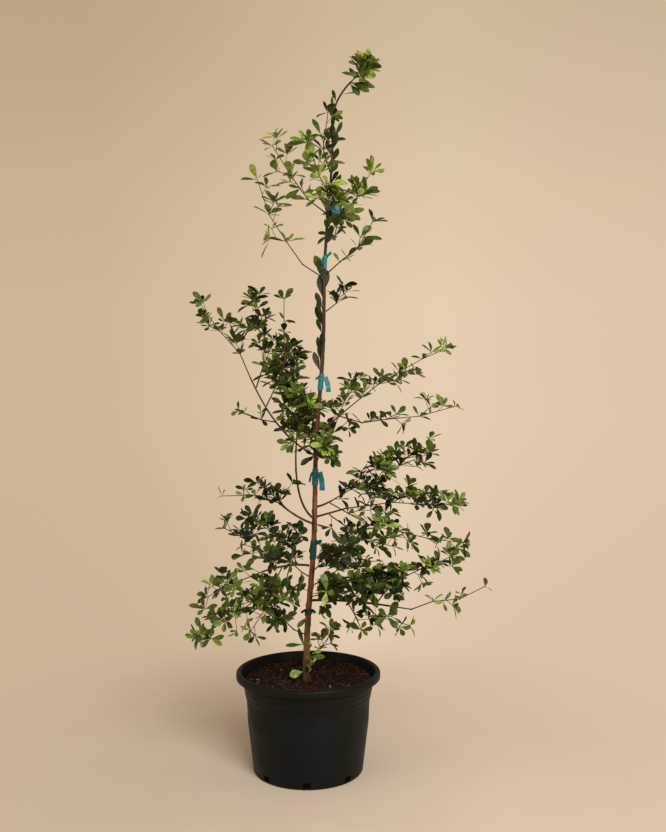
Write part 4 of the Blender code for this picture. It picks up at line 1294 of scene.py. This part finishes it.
class OLIVE_OT_leaves(bpy.types.Operator):
    """Make the leaves in whorls, each green as a joined mesh."""

    bl_idname = "olive.leaves"
    bl_label = "Leaves"

    def execute(self, context):
        sheaves = {kind: [] for kind in LEAF_KINDS}
        for number, mass in enumerate(MASSES, start=1):
            rng = random.Random(SEED * 7 + number)
            thinned = min(1.0, THIN_SHARE + (1.0 - THIN_SHARE) * FULLNESS.get(mass.name, 1.0))
            for rosette in TREE.rosettes[number - 1]:
                count = sizes().tip_leaves if rosette.at_tip else sizes().node_leaves
                count = round((count + rng.choice((-1, 0, 0, 1))) * thinned)
                self.add_whorl(sheaves, rng, number, rosette, count, LEAF_SCALE.get(mass.name, 1.0))
            for shoot in TREE.grow_shoots(number, sizes().shoot_length):
                self.add_whorl(sheaves, rng, number, tip_rosette(shoot), sizes().node_leaves, 0.95)
        for leaf, light in trunk_leaves():
            sheaves[leaf_kind(light)].append(leaf)
        names = [mass.name for mass in MASSES]
        for place, kind in enumerate(LEAF_KINDS):
            material = leaf_material("leaf_" + kind, tuple(getattr(colours(), "leaf_" + kind)))
            leaf_piece("leaves_" + kind + "_green", sheaves[kind], material, names[place::len(LEAF_KINDS)])
        return {"FINISHED"}

    def add_whorl(self, sheaves, rng, number, rosette, count, scale):
        light = whorl_painted_light_and_age(rng, MASSES[number - 1].name, rosette)
        for leaf in whorl(rng, rosette, count, scale):
            kind = leaf_kind(light + rng.gauss(0.0, 0.13))
            if TREE.has_room(number, leaf_spots(leaf), LEAF_ROOM):
                sheaves[kind].append(leaf)


POT_TURN_SIDES = 144
EDGE_STEPS = 6
LIP_STEPS = 10
GROOVE_DEPTH = 0.0007
GROOVE_HEIGHTS = (0.1885, 0.2035)
WALL_RIDGE = 0.0011             # the faint ridge low on the wall
WALL_RIDGE_HEIGHT = 0.136


def rounded(radius, middle_radius, middle_height, first, last, steps):
    """Points of a round edge, turning from one angle to another."""
    points = []
    for step in range(steps + 1):
        angle = first + (last - first) * step / steps
        points.append((middle_radius + radius * math.cos(angle), middle_height + radius * math.sin(angle)))
    return points


def pot_profile():
    """The pot's outline from the middle of its underside, up its wall, over the lip and down inside."""
    quarter = math.pi / 2
    outside = [(0.0, 0.0)]
    outside += rounded(POT_BASE_EDGE, POT_BASE_RADIUS - POT_BASE_EDGE, POT_BASE_EDGE, -quarter, 0.0, EDGE_STEPS)
    outside += [(POT_BULGE_RADIUS, POT_BULGE_HEIGHT), (POT_BULGE_RADIUS + WALL_RIDGE, WALL_RIDGE_HEIGHT),
                (POT_BULGE_RADIUS + WALL_RIDGE * 0.8, WALL_RIDGE_HEIGHT + 0.003),
                (POT_SHOULDER_RADIUS - POT_STEP, POT_SHOULDER_HEIGHT - POT_STEP),
                (POT_SHOULDER_RADIUS - POT_STEP * 0.4, POT_SHOULDER_HEIGHT - POT_STEP * 0.4),
                (POT_SHOULDER_RADIUS, POT_SHOULDER_HEIGHT + POT_STEP * 0.5)]
    for height in GROOVE_HEIGHTS:
        share = (height - POT_SHOULDER_HEIGHT) / (POT_NECK_HEIGHT - POT_SHOULDER_HEIGHT)
        wall = POT_SHOULDER_RADIUS + (POT_NECK_RADIUS - POT_SHOULDER_RADIUS) * share
        outside += [(wall, height - GROOVE_DEPTH), (wall - GROOVE_DEPTH, height), (wall, height + GROOVE_DEPTH)]
    foot = POT_HEIGHT - POT_LIP_HEIGHT
    outside += [(POT_NECK_RADIUS, POT_NECK_HEIGHT), (POT_NECK_RADIUS + 0.0004, foot)]
    chamfer = POT_LIP_CHAMFER
    lip = rounded(chamfer, POT_RIM_RADIUS - chamfer, foot + chamfer, -quarter, 0.0, EDGE_STEPS)
    lip += rounded(POT_LIP_ROLL, POT_RIM_RADIUS - POT_LIP_ROLL, POT_HEIGHT - POT_LIP_ROLL, 0.0, math.pi, LIP_STEPS)
    inside = [(POT_NECK_RADIUS - POT_WALL, POT_NECK_HEIGHT), (POT_SHOULDER_RADIUS - POT_WALL, POT_SHOULDER_HEIGHT),
              (POT_BULGE_RADIUS - POT_WALL, POT_BULGE_HEIGHT), (POT_BASE_RADIUS - POT_WALL, POT_FLOOR),
              (0.0, POT_FLOOR)]
    return outside + lip + inside


class OLIVE_OT_pot(bpy.types.Operator):
    """Make the nursery pot with its rolled lip, mould rings and drain notches."""

    bl_idname = "olive.pot"
    bl_label = "Pot"

    def execute(self, context):
        bm = turned(pot_profile(), POT_TURN_SIDES)
        pot = piece_from_bmesh("pot_piece", bm, pot_material(), ("pot",), math.radians(40))
        cutters = bmesh.new()
        for index in range(NOTCH_COUNT):
            box = bmesh.ops.create_cube(cutters, size=1.0)["verts"]
            bmesh.ops.scale(cutters, vec=(NOTCH_DEPTH, NOTCH_WIDTH, NOTCH_HEIGHT), verts=box)
            bmesh.ops.translate(cutters, vec=(POT_BASE_RADIUS, 0, NOTCH_FOOT + NOTCH_HEIGHT / 2), verts=box)
            turn = Matrix.Rotation(index * math.tau / NOTCH_COUNT, 3, "Z")
            bmesh.ops.rotate(cutters, cent=(0, 0, 0), matrix=turn, verts=box)
        mesh = bpy.data.meshes.new("notch_cutter")
        cutters.to_mesh(mesh)
        cutters.free()
        cutter = bpy.data.objects.new("notch_cutter", mesh)
        bpy.context.scene.collection.objects.link(cutter)
        cut = pot.modifiers.new("Drain notches", "BOOLEAN")
        cut.operation = "DIFFERENCE"
        cut.object = cutter
        depsgraph = bpy.context.evaluated_depsgraph_get()
        finished = bpy.data.meshes.new_from_object(pot.evaluated_get(depsgraph))
        pot.modifiers.clear()
        pot.data = finished
        bpy.data.objects.remove(cutter, do_unlink=True)
        return {"FINISHED"}


# Each kind of chip: its colour and the share of the chips that are of its kind or one before it
CHIPS = {
    "dark": ((0.012, 0.005, 0.003), 0.36),
    "red": ((0.070, 0.020, 0.011), 0.70),
    "brown": ((0.046, 0.019, 0.010), 0.965),
    "tan": ((0.130, 0.080, 0.046), 0.992),
    "pale": ((0.300, 0.310, 0.270), 1.0),
}
SOIL_LUMP = 0.0026
SOIL_SINK = 0.0008              # how far the soil has sunk below the solid's surface, apart from under the trunk
SOIL_BARE_RADIUS = 0.013        # the soil under the trunk's foot, smooth and without chips
SOIL_WALL_GAP = 0.0016
SOIL_RINGS = 44
CHIP_LENGTHS = (0.0025, 0.0085)


def soil_height(x, y):
    """The lumpy surface of the potting mix, dished round the trunk and higher at the wall."""
    reach = math.hypot(x, y)
    off_trunk = min(1.0, max(0.0, (math.hypot(x - TRUNK_FOOT_X, y) - SOIL_BARE_RADIUS) / SOIL_BARE_RADIUS))
    lumps = noise.fractal(Vector((x * 42.0, y * 42.0, 0.0)), 1.0, 2.0, 5)
    out = max(0.0, (reach - SOIL_FLAT_RADIUS) / (POT_NECK_RADIUS - SOIL_FLAT_RADIUS))
    return SOIL_TOP + (SOIL_LUMP * lumps - SOIL_SINK) * off_trunk + SOIL_EDGE_RISE * math.sin(out * math.pi / 2)


def chip(rng, place):
    """A splinter of bark: a flat tapering block of six sides, lying at a slant."""
    length = rng.uniform(*CHIP_LENGTHS)
    width = length * rng.uniform(0.25, 0.6)
    height = rng.uniform(0.0008, 0.0022)
    turn = rng.uniform(0, math.tau)
    along = Vector((math.cos(turn), math.sin(turn), rng.uniform(-0.35, 0.35))).normalized()
    across = along.cross(Vector((rng.uniform(-0.3, 0.3), rng.uniform(-0.3, 0.3), 1.0))).normalized()
    top = across.cross(along)
    points = []
    for share, taper in ((-0.5, rng.uniform(0.3, 0.9)), (0.5, rng.uniform(0.2, 0.8))):
        for side, rise in ((-1, -1), (1, -1), (1, 1), (-1, 1)):
            points.append(place + along * length * share + across * width * 0.5 * side * taper
                          + top * height * 0.5 * rise * taper + UP * height * 0.3)
    faces = [(3, 2, 1, 0), (4, 5, 6, 7), (0, 1, 5, 4), (1, 2, 6, 5), (2, 3, 7, 6), (3, 0, 4, 7)]
    return points, faces


class OLIVE_OT_soil(bpy.types.Operator):
    """Make the potting mix and the loose bark chips on it."""

    bl_idname = "olive.soil"
    bl_label = "Soil"

    def execute(self, context):
        edge = POT_NECK_RADIUS - POT_WALL - SOIL_WALL_GAP
        profile = [(0.0, POT_FLOOR + SOIL_GAP), (POT_BASE_RADIUS - POT_WALL - SOIL_GAP, POT_FLOOR + SOIL_GAP),
                   (POT_SHOULDER_RADIUS - POT_WALL - SOIL_GAP, POT_SHOULDER_HEIGHT)]
        profile += [(edge * (SOIL_RINGS - index) / SOIL_RINGS, SOIL_TOP) for index in range(SOIL_RINGS + 1)]
        bm = turned(profile, POT_TURN_SIDES)
        for vert in bm.verts:
            if vert.co.z > SOIL_TOP - SOIL_LUMP / 2:
                vert.co.z = soil_height(vert.co.x, vert.co.y)
        piece_from_bmesh("soil_piece", bm, soil_material(), ("soil",))
        rng = random.Random(SEED + 900)
        sheaves = {name: Sheaf() for name in CHIPS}
        for index in range(sizes().chips):
            reach = (edge - 0.004) * math.sqrt(rng.random())
            turn = rng.uniform(0, math.tau)
            x, y = reach * math.cos(turn), reach * math.sin(turn)
            if math.hypot(x - TRUNK_FOOT_X, y) < SOIL_BARE_RADIUS:
                continue
            pick = rng.random()
            name = next(name for name, (colour, limit) in CHIPS.items() if pick <= limit)
            sheaves[name].add(*chip(rng, Vector((x, y, soil_height(x, y)))))
        for name, (colour, limit) in CHIPS.items():
            sheaves[name].piece("chips_" + name, chip_material("chip_" + name, colour), "soil_mulch")
        return {"FINISHED"}


TAPE_THICKNESS = 0.0006
LAP_HEIGHT = 0.011
LAP_STEPS = 28
TAIL_STEPS = 8
SHADED_TIES = 2                   # the lowest ties, in the same tape darkened with painted shade where the crown shades them

# The loose ends of each tie: the way in which one leaves the trunk, its slope at its foot and its tip
# (0 is level, a quarter turn hangs straight down), and its length and width
Tail = namedtuple("Tail", "tie turn foot tip length width")
TAILS = (
    Tail("tie_1", -2.6, 0.2, 0.5, 0.014, 0.008),
    Tail("tie_1", -0.5, 0.3, 0.9, 0.010, 0.007),
    Tail("tie_2", -0.5, -0.5, -0.2, 0.016, 0.010),
    Tail("tie_2", -2.3, 1.0, 1.4, 0.020, 0.008),
    Tail("tie_3", -0.30, 1.2, 1.60, 0.044, 0.013),
    Tail("tie_3", -2.7, 1.1, 1.45, 0.024, 0.007),
    Tail("tie_4", -0.25, 1.0, 1.60, 0.036, 0.012),
    Tail("tie_4", -2.5, 0.2, 0.8, 0.012, 0.007),
    Tail("tie_5", -0.5, -0.9, -0.5, 0.018, 0.009),
    Tail("tie_5", -2.4, 1.0, 1.4, 0.016, 0.008),
    Tail("tie_6", -0.15, 0.9, 1.50, 0.030, 0.016),
    Tail("tie_6", -0.7, 1.2, 1.60, 0.022, 0.012),
)


class OLIVE_OT_ties(bpy.types.Operator):
    """Make the wound tape ties, each with its loose ends."""

    bl_idname = "olive.ties"
    bl_label = "Ties"

    def execute(self, context):
        teal = tape_material("tie_tape", tuple(colours().tape))
        bluer_and_painted_light = tape_material("tie_tape_light", tuple(colours().tape_light))
        dark = tape_material("tie_tape_dark", tuple(colours().tape_dark))
        for number, tie in enumerate(TIES):
            rng = random.Random(SEED + 500 + number)
            bm = bmesh.new()
            laps = max(2, round(tie.length / LAP_HEIGHT))
            for lap in range(laps):
                self.add_lap(bm, tie, lap, laps, rng)
            for tail in TAILS:
                if tail.tie == tie.name:
                    self.add_tail(bm, tie, tail)
            # The lowest ties take the tape darkened with painted shade, the top tie the bluer tape lightened with
            # painted light
            material = bluer_and_painted_light if tie is TIES[-1] else dark if number < SHADED_TIES else teal
            piece_from_bmesh(tie.name + "_piece", bm, material, (tie.name,), math.radians(50))
        return {"FINISHED"}

    def add_lap(self, bm, tie, lap, laps, rng):
        """One slanting turn of tape: a flat section spun round the trunk, then tilted and set on it."""
        height = tie.height + tie.length * ((lap + 0.5) / laps - 0.5)
        half = tie.length / laps * 0.62
        inner = trunk_radius(height) * 1.04 + SEAT_GAP
        outer = inner + TAPE_THICKNESS + rng.uniform(0.0002, 0.0011)
        section = ((inner, -half), (inner, half), (outer, half), (outer + TAPE_THICKNESS / 2, 0.0), (outer, -half))
        verts = [bm.verts.new((radius, 0.0, rise)) for radius, rise in section]
        edges = [bm.edges.new(pair) for pair in zip(verts, verts[1:] + verts[:1])]
        before = set(bm.verts) - set(verts)
        bmesh.ops.spin(bm, geom=verts + edges, cent=(0, 0, 0), axis=UP, angle=math.tau,
                       steps=LAP_STEPS, use_merge=True)
        tilt = rng.uniform(-0.30, 0.30)
        lead = rng.uniform(0, math.tau)
        for vert in set(bm.verts) - before:
            rise = vert.co.z + math.hypot(vert.co.x, vert.co.y) * tilt * math.cos(math.atan2(vert.co.y, vert.co.x) - lead)
            vert.co = trunk_centre(height + rise) + Vector((vert.co.x, vert.co.y, 0.0))

    def add_tail(self, bm, tie, tail):
        """A loose end of tape: a thin flag beside the trunk that starts on the band and droops."""
        strip = bmesh.ops.create_grid(bm, x_segments=TAIL_STEPS, y_segments=2, size=0.5)["verts"]
        faces = list({face for vert in strip for face in vert.link_faces})
        out = Vector((math.cos(tail.turn), math.sin(tail.turn), 0.0))
        aside = Vector((-out.y, out.x, 0.0))
        height = tie.height + tie.length * 0.3
        line = [trunk_centre(height) + out * (trunk_radius(height) + SEAT_GAP + TAPE_THICKNESS)]
        for step in range(TAIL_STEPS):
            slope = tail.foot + (tail.tip - tail.foot) * (step + 1) / TAIL_STEPS
            line.append(line[-1] + (out * math.cos(slope) - UP * math.sin(slope)) * tail.length / TAIL_STEPS)
        for vert in strip:
            step = round((vert.co.x + 0.5) * TAIL_STEPS)
            slope = tail.foot + (tail.tip - tail.foot) * step / TAIL_STEPS
            upright = out * math.sin(slope) + UP * math.cos(slope)
            across = (upright + aside * 0.4).normalized() * (vert.co.y + 0.35) * tail.width
            vert.co = line[step] + across + aside * 0.0012 * math.sin(step * 1.7 + vert.co.y * 2)
        bmesh.ops.solidify(bm, geom=faces, thickness=TAPE_THICKNESS)


FLOOR_RADIUS = 30.0
FLOOR_TURN = 0.35               # painted light on the floor: darker this far to the left and lighter this far to the right
FLOOR_PAINTED_SHADE_LEFT = 0.95
FLOOR_PAINTED_LIGHT_RIGHT = 1.12
FADE_NEAR = 0.25                # the floor turns from lit to a glow of the backdrop's colour, with its painted light, between these radii
FADE_FAR = 1.40
LIGHT_SHARE = 0.66              # the room's light on the plant, as a share of what the eye sees of it

# Painted light on the backdrop: its brightness from low to high and from left to right, by a direction's rise and side
GLOW_REACH = 0.5
GLOW_BY_RISE = ((0.0, (0.90, 0.90, 0.90)), (0.5, (1.0, 1.0, 1.0)), (0.62, (1.0, 1.0, 0.99)),
                (0.74, (0.94, 0.94, 0.91)), (0.90, (0.81, 0.81, 0.76)), (1.0, (0.76, 0.76, 0.70)))
GLOW_BY_SIDE = ((0.0, (0.86, 0.85, 0.81)), (0.25, (0.89, 0.87, 0.83)), (0.38, (0.98, 0.97, 0.94)),
                (0.5, (1.09, 1.09, 1.09)), (0.62, (1.12, 1.14, 1.15)), (0.75, (1.07, 1.07, 1.09)),
                (1.0, (1.0, 1.0, 1.0)))


def glow_ramp(tree, value, stops):
    """A brightness over one part of a direction."""
    span = tree.nodes.new("ShaderNodeMapRange")
    span.inputs["From Min"].default_value = -GLOW_REACH
    span.inputs["From Max"].default_value = GLOW_REACH
    tree.links.new(value, span.inputs["Value"])
    return ramp(tree, span.outputs["Result"], stops)


def glow(tree, direction):
    """The backdrop's colour in a direction, with painted light: brightest level with the crown, on the right."""
    axes = tree.nodes.new("ShaderNodeSeparateXYZ")
    tree.links.new(direction, axes.inputs["Vector"])
    brightness = tree.nodes.new("ShaderNodeVectorMath")
    brightness.operation = "MULTIPLY"
    tree.links.new(glow_ramp(tree, axes.outputs["Z"], GLOW_BY_RISE), brightness.inputs[0])
    tree.links.new(glow_ramp(tree, axes.outputs["X"], GLOW_BY_SIDE), brightness.inputs[1])
    coloured = tree.nodes.new("ShaderNodeVectorMath")
    coloured.operation = "MULTIPLY"
    coloured.inputs[1].default_value = colours().backdrop
    tree.links.new(brightness.outputs["Vector"], coloured.inputs[0])
    return coloured.outputs["Vector"]


def floor_material():
    """A pale floor with painted light, darker to the left and lighter to the right, lit near the plant, that fades
    with no line into a glow of the backdrop's colour and painted light.
    """
    material, tree, shader = new_material("pale_floor", 0.9, 0.0)
    colour = tuple(colours().floor)
    grain = noise_node(tree, 3.0, 3.0)
    stops = ((0.35, shade(colour, 0.98)), (0.65, shade(colour, 1.02)))
    # painted shade on the left of the floor and painted light on its right
    left = ramp(tree, grain, [(place, shade(stop, FLOOR_PAINTED_SHADE_LEFT)) for place, stop in stops])
    right = ramp(tree, grain, [(place, shade(stop, FLOOR_PAINTED_LIGHT_RIGHT)) for place, stop in stops])
    aside = axis_share(tree, "X", -FLOOR_TURN, FLOOR_TURN)
    tree.links.new(mix_colours(tree, aside, left, right), shader.inputs["Base Color"])
    place = tree.nodes.new("ShaderNodeTexCoord")
    distance = tree.nodes.new("ShaderNodeVectorMath")
    distance.operation = "LENGTH"
    tree.links.new(place.outputs["Object"], distance.inputs[0])
    fade = tree.nodes.new("ShaderNodeMapRange")
    fade.interpolation_type = "SMOOTHSTEP"
    fade.inputs["From Min"].default_value = FADE_NEAR
    fade.inputs["From Max"].default_value = FADE_FAR
    tree.links.new(distance.outputs["Value"], fade.inputs["Value"])
    heading = tree.nodes.new("ShaderNodeVectorMath")
    heading.operation = "NORMALIZE"
    tree.links.new(place.outputs["Object"], heading.inputs[0])
    # Far from the plant the floor is an emission that glows with the backdrop's colour and painted light, though it is
    # no lamp
    far = tree.nodes.new("ShaderNodeEmission")
    tree.links.new(glow(tree, heading.outputs["Vector"]), far.inputs["Color"])
    mix = tree.nodes.new("ShaderNodeMixShader")
    tree.links.new(fade.outputs["Result"], mix.inputs["Fac"])
    tree.links.new(shader.outputs["BSDF"], mix.inputs[1])
    tree.links.new(far.outputs["Emission"], mix.inputs[2])
    tree.links.new(mix.outputs["Shader"], tree.nodes["Material Output"].inputs["Surface"])
    return material


def make_room():
    """A warm backdrop all round with painted light across what the camera sees, softer as a light than it looks."""
    world = bpy.data.worlds.new("room")
    world.use_nodes = True
    tree = world.node_tree
    seen = tree.nodes["Background"]
    place = tree.nodes.new("ShaderNodeTexCoord")
    tree.links.new(glow(tree, place.outputs["Generated"]), seen.inputs["Color"])
    light = tree.nodes.new("ShaderNodeBackground")
    light.inputs["Color"].default_value = (*colours().backdrop, 1.0)
    light.inputs["Strength"].default_value = LIGHT_SHARE
    path = tree.nodes.new("ShaderNodeLightPath")
    mix = tree.nodes.new("ShaderNodeMixShader")
    tree.links.new(path.outputs["Is Camera Ray"], mix.inputs["Fac"])
    tree.links.new(light.outputs["Background"], mix.inputs[1])
    tree.links.new(seen.outputs["Background"], mix.inputs[2])
    tree.links.new(mix.outputs["Shader"], tree.nodes["World Output"].inputs["Surface"])
    bpy.context.scene.world = world


def add_area_light(name, place, target, size, power, colour):
    light = bpy.data.lights.new(name, "AREA")
    light.shape = "SQUARE"
    light.size = size
    light.energy = power
    light.color = colour
    lamp = bpy.data.objects.new(name, light)
    bpy.context.scene.collection.objects.link(lamp)
    lamp.location = place
    lamp.rotation_mode = "QUATERNION"
    lamp.rotation_quaternion = (Vector(target) - Vector(place)).to_track_quat("-Z", "Y")


class OLIVE_OT_stage(bpy.types.Operator):
    """Make the pale floor, the soft lights, the background with its painted light, and the camera."""

    bl_idname = "olive.stage"
    bl_label = "Stage"

    def execute(self, context):
        bm = bmesh.new()
        bmesh.ops.create_circle(bm, cap_ends=True, segments=96, radius=FLOOR_RADIUS)
        bmesh.ops.translate(bm, vec=(0, 0, -0.0005), verts=bm.verts)
        mesh = bpy.data.meshes.new("floor")
        bm.to_mesh(mesh)
        bm.free()
        mesh.materials.append(floor_material())
        floor = bpy.data.objects.new("floor", mesh)
        bpy.context.scene.collection.objects.link(floor)

        make_room()
        bpy.context.scene.view_settings.view_transform = "Standard"
        add_area_light("key", (2.18, -5.40, 4.16), (0.0, 0.0, 0.8), 3.4, 400.0, (1.0, 0.96, 0.90))
        add_area_light("fill", (-2.6, -1.6, 1.8), (0.0, 0.0, 0.8), 2.6, 14.0, (1.0, 0.97, 0.93))

        camera = bpy.data.cameras.new("camera")
        camera.lens = CAMERA_LENS
        camera.sensor_width = 36.0
        eye = bpy.data.objects.new("camera", camera)
        bpy.context.scene.collection.objects.link(eye)
        eye.location = CAMERA_PLACE
        eye.rotation_euler = (math.pi / 2, 0.0, 0.0)
        bpy.context.scene.camera = eye
        return {"FINISHED"}


class OLIVE_PT_panel(bpy.types.Panel):
    """Lists the pieces of the plant and their sizes."""

    bl_idname = "OLIVE_PT_panel"
    bl_label = "Olive tree"
    bl_space_type = "VIEW_3D"
    bl_region_type = "UI"
    bl_category = "Olive tree"

    def draw(self, context):
        layout = self.layout
        for operator in OPERATORS:
            layout.operator(operator.bl_idname)
        for group in (context.scene.olive_sizes, context.scene.olive_colours):
            for name in group.bl_rna.properties.keys():
                if name not in ("rna_type", "name"):
                    layout.prop(group, name)


OPERATORS = (OLIVE_OT_limbs, OLIVE_OT_twigs, OLIVE_OT_leaves, OLIVE_OT_pot, OLIVE_OT_soil, OLIVE_OT_ties,
             OLIVE_OT_stage)
CLASSES = (OliveSizes, OliveColours) + OPERATORS + (OLIVE_PT_panel,)


def register():
    for cls in CLASSES:
        bpy.utils.register_class(cls)
    bpy.types.Scene.olive_sizes = PointerProperty(type=OliveSizes)
    bpy.types.Scene.olive_colours = PointerProperty(type=OliveColours)


def unregister():
    del bpy.types.Scene.olive_colours
    del bpy.types.Scene.olive_sizes
    for cls in reversed(CLASSES):
        bpy.utils.unregister_class(cls)


def main():
    register()
    bpy.ops.olive.limbs()
    bpy.ops.olive.twigs()
    bpy.ops.olive.leaves()
    bpy.ops.olive.pot()
    bpy.ops.olive.soil()
    bpy.ops.olive.ties()
    bpy.ops.olive.stage()


if __name__ == "__main__":
    main()
